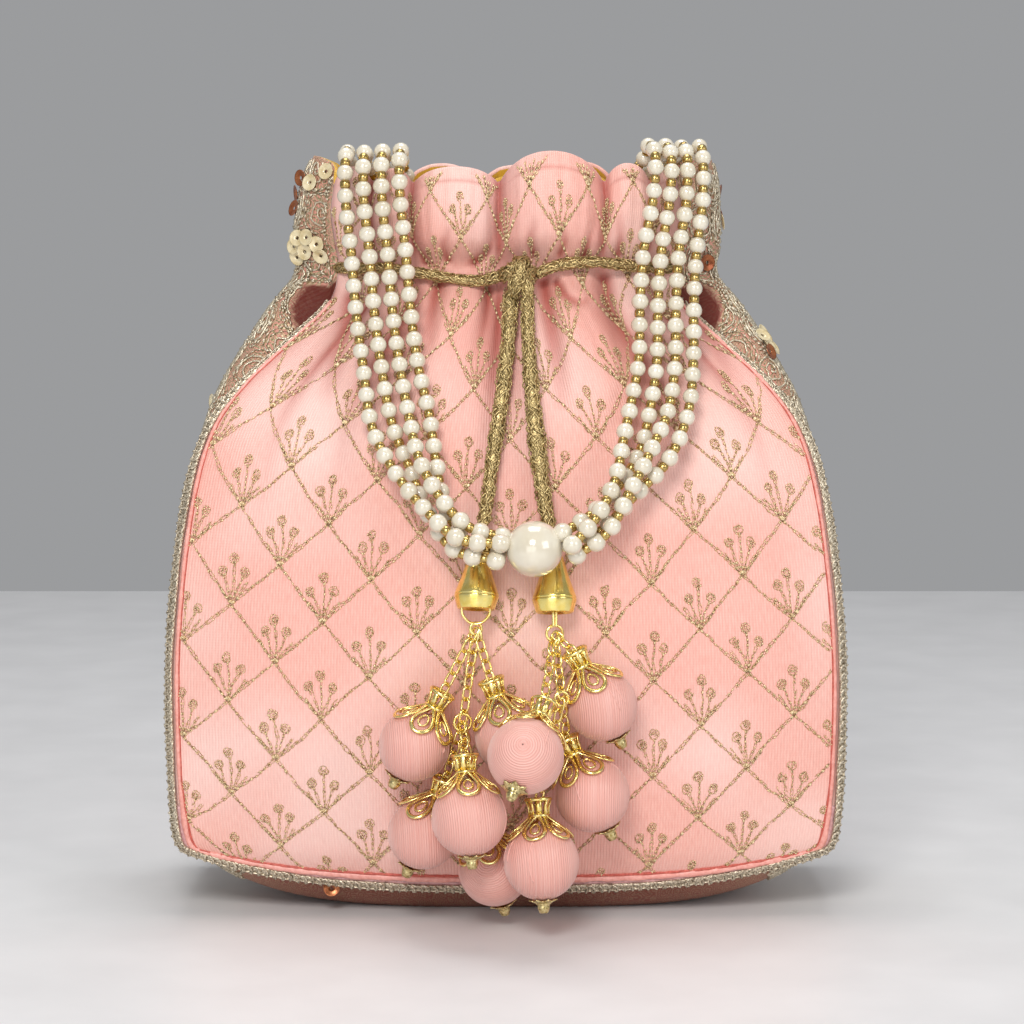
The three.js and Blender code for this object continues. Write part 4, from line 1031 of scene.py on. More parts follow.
def lay(grid, normals, r, c):
    """Points and normals at fractional rows and columns of a grid."""
    r = np.clip(r, 0, grid.shape[0] - 1.001)
    c = np.clip(c, 0, grid.shape[1] - 1.001)
    r0 = r.astype(int)
    c0 = c.astype(int)
    fr = (r - r0)[:, None]
    fc = (c - c0)[:, None]

    def blend(table):
        low = table[r0, c0] * (1 - fc) + table[r0, c0 + 1] * fc
        high = table[r0 + 1, c0] * (1 - fc) + table[r0 + 1, c0 + 1] * fc
        return low * (1 - fr) + high * fr
    return blend(grid), unit(blend(normals))


# Needlework

def stitches(starts, ends, normals, width, height):
    """Slim grains of thread from starts to ends, lying on a surface."""
    middle = (starts + ends) / 2
    half = (ends - starts) * STITCH_HALF
    side = unit(np.cross(normals, half)) * width[:, None] / 2
    tall = normals * height[:, None]
    verts = np.stack([middle - half, middle + half, middle - side, middle + side, middle + tall], axis=1)
    shift = (np.arange(len(starts)) * STITCH_CORNERS)[:, None, None]
    return verts.reshape(-1, 3), [(STITCH_FACES[None] + shift).reshape(-1, 3)]


class Needlework:
    """Threads drawn in flat cloth coordinates, turned into grains on the cloth at the end."""

    def __init__(self):
        self.runs = []

    def line(self, path, step=STITCH_STEP, spread=0.0, width=0.64, height=0.5):
        path = np.asarray(path, float)
        count = max(int(round(lengths_along(path)[-1] / step)), 1)
        points = resample(path, count + 1)
        across = unit(np.gradient(points, axis=0))[:, ::-1] * (1, -1)
        points = points + across * (spread + rng.normal(0, 0.15, (count + 1, 1)))
        sizes = np.tile((width, height), (count, 1)) * rng.uniform(0.75, 1.25, (count, 1))
        run = np.hstack([points[:-1], points[1:], sizes])
        self.runs.append(run[rng.uniform(0, 1, count) > MISSED_STITCHES])

    def ring(self, centre, radius, **more):
        angle = np.linspace(0, 2 * np.pi, 15) + rng.uniform(0, 6)
        wobble = radius * rng.uniform(0.85, 1.15, 15)
        loop = np.stack([np.cos(angle) * wobble * 0.85, np.sin(angle) * wobble], axis=1)
        self.line(loop + centre, 1.1, **more)

    def sewn(self, place, keep):
        """place turns flat coordinates into points and normals; keep says which are on the cloth."""
        runs = np.vstack(self.runs)
        runs = runs[keep(runs[:, 0:2]) & keep(runs[:, 2:4])]
        starts, normals = place(runs[:, 0:2])
        ends, _ = place(runs[:, 2:4])
        return stitches(starts, ends, normals, runs[:, 4], runs[:, 5])


def lattice_node(k, m):
    a = LATTICE_START[0] + LATTICE_HALF[0] * k
    sag = LATTICE_SAG[0] if a < 0 else LATTICE_SAG[1]
    return np.array([a, LATTICE_START[1] + LATTICE_HALF[1] * m + sag * (a / PANEL_HALF) ** 2])


def stem(work, root, points, bud):
    path = np.array(points) + root + rng.normal(0, 0.25, (len(points), 2)) * np.array([[0], [1], [1]])
    for spread, width in STEM_THREADS:
        work.line(path, STEM_STEP, spread, width)
    if bud:
        tip = path[-1] + unit(path[-1] - path[-2]) * 1.2
        for radius in BUD_RINGS:
            work.ring(tip, radius, width=0.66)


def sprig(work, root):
    """Five stems from one point, the middle three with a looped bud."""
    stem(work, root, [(0, 0), (0.1, 6), (-0.1, 11.8)], True)
    for way in (-1, 1):
        stem(work, root, [(0, 0.3), (1.5 * way, 4.2), (3.0 * way, 8.2)], True)
        stem(work, root, [(0.2 * way, 0), (2.4 * way, 2.9), (4.9 * way, 6.2)], False)
    work.ring(root + (0, 0.7), 0.7, width=0.8, height=0.7)


def panel_needlework():
    work = Needlework()
    for k in LATTICE_COLUMNS:
        for m in LATTICE_ROWS:
            if (k + m) % 2 == 0:
                continue
            root = lattice_node(k, m)
            for way in (-1, 1):
                end = lattice_node(k + way, m + 1)
                middle = (root + end) / 2 + rng.normal(0, 0.3, 2)
                for spread in LATTICE_THREADS:
                    work.line([root, middle, end], spread=spread)
            sprig(work, root)
    return work


# Panels

def panel(facing, name):
    across = np.linspace(-1, 1, PANEL_COLUMNS)
    grid = panel_points(facing, across[None, :], PANEL_ROWS[:, None])
    normals = normals_of(grid, -facing)
    points, faces, parts = walled(grid, normals, PANEL_RIM)
    faces = [face[:, ::-1] for face in faces] if facing > 0 else faces
    u, level = np.meshgrid(across, there_and_back(PANEL_ROWS, PANEL_RIM))
    uv = np.stack([u * PANEL_HALF, level], axis=-1).reshape(-1, 2) / 100
    cloth = make_piece(f"{name}_cloth", (points, faces), ["silk", "lining_satin"], [name],
                       uv=uv, painted_shade=panel_painted_shade(facing, u, level).ravel(), parts=parts)

    def place(flat):
        rows = np.interp(flat[:, 1], PANEL_ROWS, np.arange(len(PANEL_ROWS)))
        columns = (flat[:, 0] / PANEL_HALF + 1) / 2 * (PANEL_COLUMNS - 1)
        return lay(grid, normals, rows, columns)

    def keep(flat):
        half, low, high = SEWN_LIMITS
        return (np.abs(flat[:, 0]) < half) & (flat[:, 1] > low) & (flat[:, 1] < high)
    sewn = make_piece(f"{name}_stitches", panel_needlework().sewn(place, keep), ["zari_thread"])


panel(-1, "front_panel")
panel(1, "back_panel")


# Gusset and what is sewn along its seams

def seam_places():
    """u, level and floor share along the seam: down the left, along the bottom, up the right."""
    edge = PANEL_ROWS[1:]
    base = np.linspace(-1, 1, BASE_ROWS)
    u = np.concatenate([np.full(len(edge), -1.0), base, np.full(len(edge), 1.0)])
    level = np.concatenate([edge[::-1], np.zeros(len(base)), edge])
    floor = np.concatenate([np.zeros(len(edge)), 1 - np.abs(base) ** 6, np.zeros(len(edge))])
    return u, level, floor


def seam_normals(points):
    """Directions out of the bag in the plane of the panel, evened out round the corners."""
    at = lengths_along(points)
    count = int(at[-1])
    along = np.gradient(resample(points, count), axis=0)[:, [0, 2]]
    window = np.hanning(17)
    padded = np.vstack([np.repeat(along[:1], 8, 0), along, np.repeat(along[-1:], 8, 0)])
    smooth = np.stack([np.convolve(column, window, "valid") for column in padded.T], axis=1)
    smooth = unit(read_along(at, np.linspace(0, at[-1], count), smooth))
    return np.stack([smooth[:, 1], np.zeros(len(at)), -smooth[:, 0]], axis=1)


seam_u, seam_level, seam_floor = seam_places()
seam_height = SEAM_FLOOR + seam_level
seams = {facing: panel_points(facing, seam_u, seam_level) for facing in (-1, 1)}
seam_out = seam_normals(seams[-1])


def gusset_grid():
    t = np.linspace(-1, 1, GUSSET_COLUMNS)[None, :]
    side = read_table(SIDE, seam_height)
    ruffle = ruffle_share(seam_level)[:, None]
    tuck = np.where(seam_u < 0, *CORNER_TUCK)[:, None] * ruffle**2
    reach = (side + (SAG - side) * seam_floor)[:, None] * (1 - tuck)
    power = (2 + 4 * seam_floor)[:, None]
    groove = read_table(GROOVE, seam_height)[:, None] * GROOVE_DEEPER
    fold = hump(np.abs(t), *SIDE_FOLD) * (1 - t**8)
    rumple = 0.6 * np.sin(seam_level[:, None] / 4.1 + 3 * t)
    rumple = rumple * read_table(PUCKER, seam_height)[:, None] * (1 - t**4)
    out = reach * (1 - np.abs(t) ** power) - groove * fold + rumple
    share = (t + 1) / 2
    front, back = seams[-1], seams[1]
    x = front[:, :1] + (back[:, :1] - front[:, :1]) * share + seam_out[:, :1] * out
    z = front[:, 2:] + (back[:, 2:] - front[:, 2:]) * share + seam_out[:, 2:] * out
    z = np.maximum(z + GUSSET_CREST * ruffle * (1 - t**6), 0)
    low = front[:, 1:2] + GUSSET_INSET
    high = back[:, 1:2] - GUSSET_INSET
    return np.stack([x, low + (high - low) * share, z], axis=-1)


strip = gusset_grid()
strip_normals = normals_of(strip, 1)
strip_along = lengths_along(strip[:, GUSSET_COLUMNS // 2])
strip_half = np.linalg.norm(np.diff(strip, axis=1), axis=2).sum(axis=1) / 2


def hollow_edge(height):
    """Share of the strip's half width beyond which the shoulder folds in."""
    return 1.02 - HOLLOW_REACH * np.exp(-(((height - HOLLOW_LEVEL) / HOLLOW_TALL) ** 4))


def gusset_cloth():
    points, faces, parts = walled(strip, strip_normals, GUSSET_RIM)
    t = np.linspace(-1, 1, GUSSET_COLUMNS)[None, :]
    rows = there_and_back(np.arange(len(strip)), GUSSET_RIM)[:, None]
    uv = np.stack(np.broadcast_arrays(t * strip_half[rows], strip_along[rows]), axis=-1).reshape(-1, 2) / 100
    # Painted shade in each shoulder's hollow, and on the floor under the bag
    fold = np.clip((np.abs(t) - hollow_edge(seam_height)[rows]) / HOLLOW_SHADE_BLEND, 0, 1)
    fold = np.maximum(0.97 * fold, 0.8 * seam_floor[rows])
    return make_piece("gusset_cloth", (points, faces), ["gusset_silk", "lining_satin"], ["gusset"],
                      uv=uv, painted_shade=fold.ravel(), parts=parts)


def on_strip(flat):
    """Points and normals of flat places on the strip."""
    rows = np.interp(flat[:, 1], strip_along, np.arange(len(strip)))
    half = np.interp(flat[:, 1], strip_along, strip_half)
    columns = (flat[:, 0] / half + 1) / 2 * (GUSSET_COLUMNS - 1)
    return lay(strip, strip_normals, rows, columns)


def in_strip(flat):
    """Which flat places lie on the open part of the strip, off its edges, hollows and floor."""
    across = np.abs(flat[:, 0])
    half = np.interp(flat[:, 1], strip_along, strip_half)
    inside = (flat[:, 1] > 1) & (flat[:, 1] < strip_along[-1] - 1) & (across < half - 1.2)
    edge = np.interp(flat[:, 1], strip_along, hollow_edge(seam_height)) + 0.06
    under = np.interp(flat[:, 1], strip_along, seam_floor) > 0.6
    return inside & ~under & (across < edge * half)


def leaf_motif(work, centre, turn, long, wide):
    """A leaf outline of two threads; returns the scroll of cord that fills it."""
    c, s = math.cos(turn), math.sin(turn)
    spin = np.array([(c, s), (-s, c)])
    angle = np.linspace(0, 2 * np.pi, 40)
    half = wide / 2 * (1 - 0.3 * np.cos(angle))
    outline = np.stack([long / 2 * np.cos(angle), half * np.sin(angle)], axis=1)
    for size, step, width, height in LEAF_THREADS:
        work.line(outline * size @ spin + centre, step, width=width, height=height)
    wind = np.linspace(0.6, rng.uniform(4.6, 6.0) * np.pi, SCROLL_POINTS)
    spiral = np.stack([np.cos(wind) * long, np.sin(wind) * wide], axis=1) * wind[:, None] / wind[-1] * 0.4
    spiral = spiral + rng.normal(0, 0.18, spiral.shape)
    return spiral @ spin + centre


def scattered_leaves(work):
    """Leaves in staggered rows over the strip; returns their scrolls."""
    scrolls = []
    for index, station in enumerate(np.arange(5.0, strip_along[-1] - 4, LACE_STEP[1])):
        half = np.interp(station, strip_along, strip_half)
        for place in range(-4, 5):
            shifted = (place + 0.5 * (index % 2)) * LACE_STEP[0]
            if abs(shifted) < half - 2:
                turn = np.pi / 2 + rng.uniform(-0.7, 0.7) + (np.pi if index % 3 == 0 else 0)
                centre = np.array([shifted, station]) + rng.normal(0, 1.0, 2)
                scrolls.append(leaf_motif(work, centre, turn, rng.uniform(14, 17), rng.uniform(9, 11)))
    return scrolls


def edge_threads(work):
    """A thread along both edges of the strip, and two wavy ones round each hollow."""
    for edge in (-1, 1):
        work.line(np.stack([edge * (strip_half - 2.2), strip_along], axis=1), 1.6, width=1.1, height=0.9)
        for rows in (seam_u < 0, seam_u > 0):
            rows = rows & (np.abs(seam_height - HOLLOW_LEVEL) < 1.4 * HOLLOW_TALL)
            wave = 0.8 * np.sin(strip_along[rows] * 1.5)
            for share in HOLLOW_THREADS:
                reach = (hollow_edge(seam_height[rows]) - share) * strip_half[rows] + wave
                work.line(np.stack([edge * reach, strip_along[rows]], axis=1), 1.2, width=1.0, height=1.0)


def scroll_piece(scrolls):
    """The runs of the scrolls that lie on the strip, as thin cords."""
    heap = Heap()
    for scroll in scrolls:
        kept = np.flatnonzero(in_strip(scroll))
        for run in np.split(kept, np.flatnonzero(np.diff(kept) > 1) + 1):
            if len(run) > SHORTEST_SCROLL:
                places, normals = on_strip(scroll[run])
                heap.add(*sweep(places + normals * SCROLL_LIFT, normals, *SCROLL_CORD, 4))
    return heap.piece("gusset_scrolls", "lace_thread", "lace")


def sequin():
    """A thin cupped disc with a hole."""
    return turned([(DISC_RADIUS * share, height) for share, height in DISC_PROFILE], DISC_SIDES, closed=True)


def strip_spot(way, z, share):
    """Flat place on the strip from a side, a height and a share of the width."""
    count = len(PANEL_ROWS) - 1
    rows = np.arange(count)[::-1] if way < 0 else np.arange(len(strip) - count, len(strip))
    along = np.interp(z, strip[rows, GUSSET_COLUMNS // 2, 2], strip_along[rows])
    return np.array([share * np.interp(along, strip_along, strip_half), along])


def flower_spots(middle):
    """A disc in the middle of a flower, and overlapping discs in an arch round it."""
    angle = np.pi * np.linspace(-0.1, 1.1, ARCH_DISCS)
    arch = np.stack([ARCH_SIZE[0] * np.cos(angle), -ARCH_SIZE[1] * np.sin(angle)], axis=1)
    return [middle, *(middle + arch)]


def disc_piece(name, look, spots, loose=()):
    """Sequins sewn at flat places on the strip, and loose ones: place and direction of each."""
    spots = np.array(spots)
    places, normals = on_strip(spots[in_strip(spots)])
    tilt = rng.normal(0, DISC_TILT, normals.shape)
    turns = [turn_to(way) for way in unit(normals + tilt + DISC_LEAN)]
    heap = Heap()
    heap.copies(sequin(), places + normals * DISC_LIFT, turns)
    for place, way in loose:
        heap.copies(sequin(), [place], [turn_to(way)])
    return heap.piece(name, look, "lace")


def lace():
    """Threads, scrolls and sequins on the gusset."""
    work = Needlework()
    scrolls = scattered_leaves(work)
    edge_threads(work)
    points, faces = work.sewn(on_strip, in_strip)
    points[:, 2] = np.maximum(points[:, 2], 0)
    threads = make_piece("gusset_lace", (points, faces), ["lace_thread"])
    cords = scroll_piece(scrolls)
    creams = [spot for row in CREAM_ARCHES for spot in flower_spots(strip_spot(*row))]
    creams = creams + [strip_spot(*row) for row in CREAM_SINGLES]
    coppers = [strip_spot(*row) for row in COPPER_DISCS]
    flowers = disc_piece("gusset_flowers", "cream_sequin", creams)
    sequins = disc_piece("gusset_sequins", "copper_sequin", coppers, [LOOSE_DISC])
    return [threads, cords, flowers, sequins]


gusset = gusset_cloth()
lace()


def seam_cord(facing, name, look, inward, raised, radius, top):
    """A satin cord or a thread on the panel beside one seam."""
    inset = inward * np.interp(seam_level, *SIDE_SLIM)
    u = np.clip(seam_u, inset / PANEL_HALF - 1, 1 - inset / PANEL_HALF)
    line = panel_points(facing, u, np.maximum(seam_level, inset))
    line[:, 1] += facing * raised
    line = line[seam_level <= top]
    count = int(lengths_along(line)[-1] / PIPING_STEP)
    line = resample(line, count)
    steps = np.arange(count)
    thick = radius * (1 + 0.12 * np.sin(steps * 0.9) + 0.1 * np.sin(steps * 0.37))
    thick = thick * np.interp(line[:, 2] - SEAM_FLOOR, *SIDE_SLIM)
    make_piece(name, sweep(line, (0.0, facing, 0.0), thick, thick * 0.85, 8), [look])


def seam_braid(facing, name, stands_for):
    """A looped gold braid along one seam, with a thread along both edges and a flat core."""
    lift = np.array([0.0, facing, 0.0]) * (1 + read_table(SIDE, seam_height) / 6)[:, None]
    lift = unit(lift + seam_out)
    low = seam_level <= TRIM_TOP
    core = (seams[facing] + lift * np.interp(seam_height, *BRAID_SEAT)[:, None])[low]
    count = int(lengths_along(core)[-1] / BRAID_STEP)
    path = resample(core, count)
    out = resample(lift[low], count)
    along = lengths_along(path)
    ahead = tangents(path)
    across = np.cross(ahead, out)
    phase = 2 * np.pi * along / LOOP_PITCH
    slim = np.interp(path[:, 2], *BRAID_SLIM)
    reach = LOOP_REACH * slim * (1 + 0.1 * np.sin(along / 5.3))
    loops = path + across * (reach * np.sin(phase))[:, None] + ahead * (LOOP_LEAN * np.cos(phase))[:, None]
    heap = Heap()
    heap.add(*sweep(loops + out * (0.3 * np.cos(phase))[:, None], out, 0.4 * slim, 0.36 * slim, 5))
    for way in (-1, 1):
        rim = path[::2] + (across * (way * reach * 0.8)[:, None] - out * 0.35)[::2]
        heap.add(*sweep(rim, out[::2], (0.3 + 0.08 * np.sin(phase * 2))[::2], 0.32, 5))
    heap.add(*sweep(path[::4] - out[::4] * 0.7, out[::4], 0.9 * reach[::4], 0.45, 6))
    heap.piece(name, "braid_thread", "braid", [stands_for])


for facing, seam_name in ((-1, "front"), (1, "back")):
    for label, *cord in PIPINGS:
        seam_cord(facing, f"{label}_{seam_name}", *cord)
    seam_braid(facing, f"braid_plait_{seam_name}", f"braid_{seam_name}")


# Lining: a band inside the mouth that follows the gathers loosely

def lining_ring(level):
    """A closed ring inside the panels and the gusset at one level."""
    height = SEAM_FLOOR + level
    squeeze = hump(height, CORD_LEVEL, SQUEEZE_TALL) * np.array(CORD_SQUEEZE)
    u = np.linspace(-0.95, 0.95, LINING_SIDES)
    front = panel_points(-1, u, level)
    back = panel_points(1, u[::-1], level)
    room = np.interp(level, *LINING_ROOM)
    front[:, 1] += room + squeeze[0]
    back[:, 1] -= room + squeeze[1]
    edge = PANEL_ROWS[1:]
    step = np.interp(level, edge, np.arange(len(edge)))
    columns = np.arange(4.0, GUSSET_COLUMNS - 4, 2)
    shrink = room + squeeze[2] + np.interp(height, *LINING_SIDE_ROOM)
    ends = []
    for row, places in ((len(strip) - len(edge) + step, columns), (len(edge) - 1 - step, columns[::-1])):
        spots, normals = lay(strip, strip_normals, np.full(len(places), row), places)
        ends.append(spots - normals * shrink)
    ring = np.vstack([front, ends[0], back, ends[1]])
    for _ in range(int(np.interp(height, *LINING_EVENED))):
        ring = (np.roll(ring, 1, 0) + 2 * ring + np.roll(ring, -1, 0)) / 4
    return ring


def lining_band():
    rings = np.array([lining_ring(level) for level in LINING_LEVELS])
    out = rings - rings.mean(axis=1, keepdims=True)
    out[..., 2] = 0
    shell = np.concatenate([rings, (rings - unit(out) * LINING_WALL)[::-1]])
    rows, columns = shell.shape[:2]
    around, level = np.meshgrid(np.linspace(0, 3.0, columns), there_and_back(LINING_LEVELS, 0) / 100)
    faces = [grid_faces(rows, columns, wrap_rows=True, wrap_columns=True)]
    return make_piece("lining_band", (shell.reshape(-1, 3), faces), ["lining_satin"], ["lining"],
                      uv=np.stack([around, level], axis=-1).reshape(-1, 2), painted_shade=np.zeros(rows * columns))


lining = lining_band()


# Handle of pearls

def string_route(rows, index):
    """Route of one string: beside the others in the flat band, then round the middle of the rope."""
    middle = rows[:, :3]
    along = unit(np.vstack([middle[1] - middle[0], middle[2:] - middle[:-2], middle[-1] - middle[-2]]))
    slope = np.radians(rows[:, 3])
    wide = np.stack([np.cos(slope), np.sin(slope), np.zeros(len(rows))], axis=1)
    across = unit(wide - along * np.sum(wide * along, axis=1, keepdims=True))
    deep = unit(np.cross(across, along))
    rope = rows[:, 4]
    swell = 1 + ROPE_SWELL * 4 * rope * (1 - rope)
    flat = (1 - rope) * (index - (STRINGS - 1) / 2) * STRING_PITCH
    a = (flat + rope * ROPE_RADIUS * ROPE_PLACES[index][0]) * swell
    b = rope * ROPE_RADIUS * ROPE_PLACES[index][1] * swell
    angle = rows[:, 5] * 2 * np.pi
    sideways = a * np.cos(angle) - b * np.sin(angle)
    depth = a * np.sin(angle) + b * np.cos(angle)
    return middle + across * sideways[:, None] + deep * depth[:, None]


def pearl_form(radius, sides, rings, dimple):
    """A pearl with a small dimple at both ends of its hole."""
    angle = np.linspace(0, np.pi, rings)
    r = np.sin(angle)
    z = np.cos(angle)
    z = np.where(r < 0.2, z * (1 - dimple), z)
    return turned(np.stack([r * radius, z * radius], axis=1), sides)


def handle(side_name):
    pearls, spacers = Heap(), Heap()
    pearl = pearl_form(PEARL_RADIUS, PEARL_SIDES, PEARL_RINGS, 0.06)
    spacer = turned(SPACER, SPACER_SIDES)
    for index in range(STRINGS):
        route = spline(string_route(HANDLES[side_name], index), 24)
        along = lengths_along(route)
        last = along[-1] - STRING_ENDS[side_name]
        at = last - PEARL_STEP * np.arange(int((last - PEARL_RADIUS) / PEARL_STEP) + 1)
        at[1:] += rng.normal(0, 0.12, len(at) - 1)
        between = (at[:-1] + at[1:]) / 2
        for heap, form, spots, growth in ((pearls, pearl, at, PEARL_GROWTH), (spacers, spacer, between, 0.0)):
            heading = read_along(spots, along, tangents(route))
            sizes = rng.uniform(0.97, 1.02, len(spots)) + growth * np.clip(spots / last * 3 - 2, 0, 1)
            turns = [turn_to(way) * size for way, size in zip(heading, sizes)]
            heap.copies(form, read_along(spots, along, route), turns)
        thread = resample(route, 80)
        spacers.add(*sweep(thread, carried(thread, (0, -1, 0.1)), STRING_THREAD, STRING_THREAD, 5))
    nodes = [f"pearl_string_{side_name}_{k + 1}" for k in range(STRINGS)]
    pearls.piece(f"handle_pearls_{side_name}", "pearl", "pearl", nodes)
    spacers.piece(f"handle_spacers_{side_name}", "spacer_gold", "gold")


handle("left")
handle("right")
big_pearl = pearl_form(BIG_PEARL[1], 40, 26, 0.02)
placed_piece("handle_big_pearl", big_pearl, BIG_PEARL[0], turn_to((1, 0.03, 0.08)), "pearl",
             ["big_pearl"])


# Ball tassels

def place_balls():
    """Balls resting on the panel or on those placed before them."""
    done = []
    for name, side_name, hangs, x, z, radius, lean, tip, clear in BALLS:
        u = x / float(read_table(SEAM_HALF, z))
        y = -float(panel_depth(-1, np.array(u), z)) - radius - clear
        for other in done:
            reach = radius + other["radius"] + clear
            apart = math.hypot(x - other["centre"][0], z - other["centre"][2])
            if apart < reach:
                y = min(y, other["centre"][1] - math.sqrt(reach**2 - apart**2))
        lean, tip = math.radians(lean), math.radians(tip)
        axis = np.array([math.sin(lean) * math.cos(tip), math.sin(tip), math.cos(lean) * math.cos(tip)])
        done.append({"name": name, "side": side_name, "hangs": hangs, "radius": radius,
                     "centre": np.array([x, y, z]), "axis": axis})
    return done


def on_ball(drop, around):
    """Points on a ball of radius one, from the angle off its top and the angle around it."""
    return np.stack([np.sin(drop) * np.cos(around), np.sin(drop) * np.sin(around), np.cos(drop)], axis=1)


def ball_piece(ball):
    """Thread wound round a ball, with a few loose strands lying over it."""
    angle = np.linspace(0.02, np.pi - 0.02, BALL_RINGS)
    form, faces = turned(np.stack([np.sin(angle), np.cos(angle)], axis=1) * ball["radius"], BALL_SIDES)
    lean = rng.uniform(-0.5, 0.5)
    pole = (lean, -1.1, 0.6) if ball["name"] in WOUND_FRONT else (1.0, 0.5 * lean, 0.3 * lean)
    heap = Heap()
    heap.add(form @ turn_to(pole, rng.uniform(0, 6)).T + ball["centre"], faces)
    for _ in range(LOOSE_STRANDS):
        around = rng.uniform(0, 2 * np.pi)
        drop = np.linspace(0.25, rng.uniform(1.2, 2.2), 26)
        strand = on_ball(drop, around + rng.uniform(-0.5, 0.5) * np.sin(drop)) @ turn_to(ball["axis"]).T
        heap.add(*sweep(strand * (ball["radius"] + 0.02) + ball["centre"], strand, *LOOSE_STRAND, 5))
    turns = np.meshgrid(np.linspace(0, 1, BALL_SIDES), np.linspace(0, 1, BALL_RINGS))
    uv = np.zeros((heap.count, 2))
    uv[:len(form)] = np.stack(turns, axis=-1).reshape(-1, 2)
    make_piece(f"ball_wound_{ball['name']}", heap.form(), ["wound_thread"],
               [f"ball_{ball['name']}"], uv=uv)


def petal(heap, radius, turn):
    """Two open loops of beaded band that follow the ball and flare at the end."""
    phase = np.linspace(0, 2 * np.pi, PETAL_POINTS, endpoint=False)
    for size, band in PETAL_LOOPS:
        q = (0.5 - 0.5 * np.cos(phase)) * size + (1 - size) * PETAL_MIDDLE
        out = PETAL_NEAR + (PETAL_FAR - PETAL_NEAR) * q
        half = PETAL_HALF * size * np.sin(phase) * (0.3 + 0.7 * q)
        level = np.sqrt((radius + PETAL_LIFT) ** 2 - out**2) + 2.2 * (1 - q) ** 3
        x = out * np.cos(turn) - half * np.sin(turn)
        y = out * np.sin(turn) + half * np.cos(turn)
        loop = np.stack([x, y, level], axis=1)
        loop = loop * (1 + PETAL_FLARE * np.clip((q - 0.55) / 0.45, 0, 1) ** 2 / radius)[:, None]
        heap.add(*sweep(loop, unit(loop), band * (1 + 0.2 * np.sin(phase * 18)), 0.32, 6, closed=True))


def cap_form(radius):
    """Open petals under a flared, slotted collar, along +Z from the ball's middle."""
    heap = Heap()
    for i in range(PETALS):
        petal(heap, radius, 2 * np.pi * i / PETALS)
    for ring_radius, height, thick in COLLAR_RINGS:
        heap.hoop(circle(30), (0, 0, radius + height), ring_radius, 0.55, thick, 6)
    for spoke in circle(COLLAR_POSTS):
        post = np.array([spoke * r + (0, 0, radius + height) for r, height in COLLAR_POST])
        heap.add(*sweep(post, spoke, 0.85, 0.28, 6))
    heap.add(*turned([(r, radius + height) for r, height in COLLAR_PLATE], 20))
    return heap.form()


def tip_form(radius):
    """A crown of leaves on the ball's underside with a tube bead below, along +Z."""
    heap = Heap()
    for size, shift in LEAF_LAYERS:
        out = LEAF_OUT * size
        level = -np.sqrt((radius + 0.2) ** 2 - out**2) - LEAF_DROP / size
        for k in range(TIP_LEAVES):
            a = 2 * np.pi * k / TIP_LEAVES + shift
            leaf = np.stack([out * math.cos(a), out * math.sin(a), level], axis=1)
            heap.add(*sweep(leaf, (0.0, 0.0, 1.0), LEAF_HALF * size, 0.2, 6))
    heap.add(*turned([(r, height - radius - 0.1) for r, height in TIP_BEAD], 18))
    return heap.form()


def link_run(heap, start, end):
    """Interlocked oval links from start to end, each turned a quarter against the last."""
    span = np.linalg.norm(end - start)
    way = unit(end - start)
    count = max(int(round(span / (2 * (LINK_HALF - LINK_WIRE)))), 1)
    bow = span / count / 2 + LINK_WIRE - LINK_WIDE
    a = np.linspace(0, 2 * np.pi, LINK_POINTS, endpoint=False)
    straight = bow * np.sign(np.cos(a) + 1e-9)
    oval = np.stack([LINK_WIDE * np.sin(a), np.zeros(LINK_POINTS), LINK_WIDE * np.cos(a) + straight], axis=1)
    for i in range(count):
        loop = oval @ turn_to(way, np.pi / 4 + np.pi / 2 * (i % 2)).T
        middle = start + way * span * (i + 0.5) / count
        across = unit(loop - way * (loop @ way)[:, None] * 0.6)
        heap.add(*sweep(loop + middle, across, LINK_WIRE, LINK_WIRE, 7, closed=True))


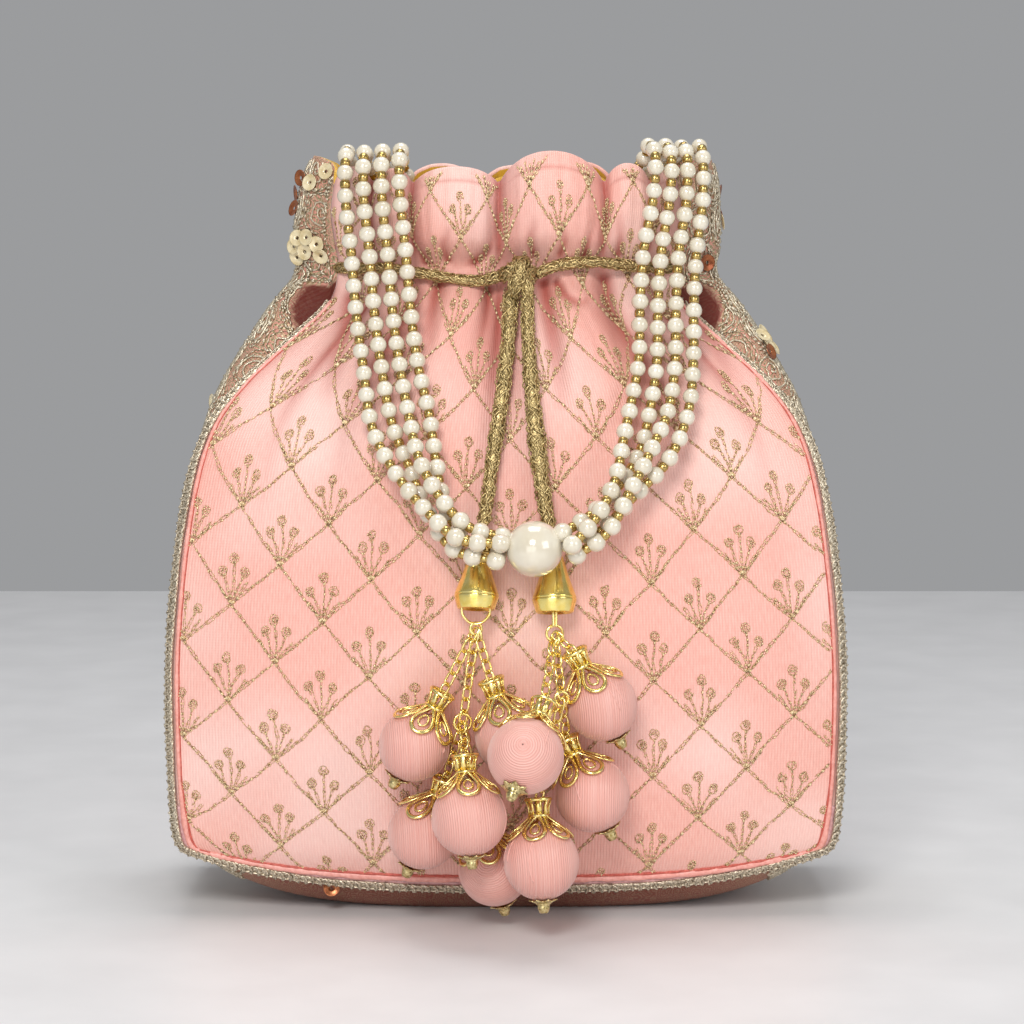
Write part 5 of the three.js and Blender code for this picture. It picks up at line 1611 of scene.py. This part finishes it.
def chain_piece(side_name, foot):
    """Wires under a bell, two rings with links between them, and a run of links to each ball."""
    heap = Heap()
    points = {"hub": foot + HUB_DROP, "ring": CHAIN_RINGS[side_name]}
    for route in BELL_WIRES[side_name]:
        line = spline(np.array(route) + foot, 8)
        heap.add(*sweep(line, carried(line, (0.3, -1.0, 0.2)), BELL_WIRE, BELL_WIRE, 7))
    link_run(heap, points["hub"], points["ring"])
    for key, spot in points.items():
        spokes = circle(RING_POINTS) @ turn_to((0.25, -1.0, 0.1)).T
        heap.hoop(spokes, spot, RING_SIZES[side_name][key], RING_WIRE, RING_WIRE, 8)
    for ball in balls:
        if ball["side"] == side_name:
            end = ball["centre"] + ball["axis"] * (ball["radius"] + COLLAR_TOP - CHAIN_SEAT)
            link_run(heap, points[ball["hangs"]], end)
    heap.piece(f"chain_links_{side_name}", "polished_gold", "gold", [f"chains_{side_name}"])


balls = place_balls()
for ball in balls:
    ball_piece(ball)
    turn = turn_to(ball["axis"], 0.3 * int(ball["name"]))
    for label, form, look in (("cap", cap_form, "polished_gold"), ("tip", tip_form, "star_brass")):
        placed_piece(f"ball_{label}_work_{ball['name']}", form(ball["radius"]), ball["centre"], turn,
                     look, [f"ball_{label}_{ball['name']}"])
for side_name, (top, foot) in BELLS.items():
    chain_piece(side_name, foot)


# Floor, lights and sky
half, front, back = FLOOR
mesh = bpy.data.meshes.new("floor")
mesh.from_pydata([(-half, front, 0), (half, front, 0), (half, back, 0), (-half, back, 0)], [], [(0, 1, 2, 3)])
mesh.materials.append(materials["floor"])
floor = bpy.data.objects.new("floor", mesh)
bpy.context.scene.collection.objects.link(floor)

for light_name, place, size, power, colour in LIGHTS:
    light = bpy.data.lights.new(light_name, "AREA")
    light.size = size
    light.energy = power
    light.color = colour
    aim(light_name, light, place, MIDDLE)

world = bpy.data.worlds.new("sky")
world.use_nodes = True
sky = world.node_tree.nodes["Background"]
sky.inputs["Color"].default_value = SKY_COLOUR
sky.inputs["Strength"].default_value = SKY_STRENGTH
bpy.context.scene.world = world
bpy.context.scene.view_settings.view_transform = "Standard"

bpy.context.view_layer.update()
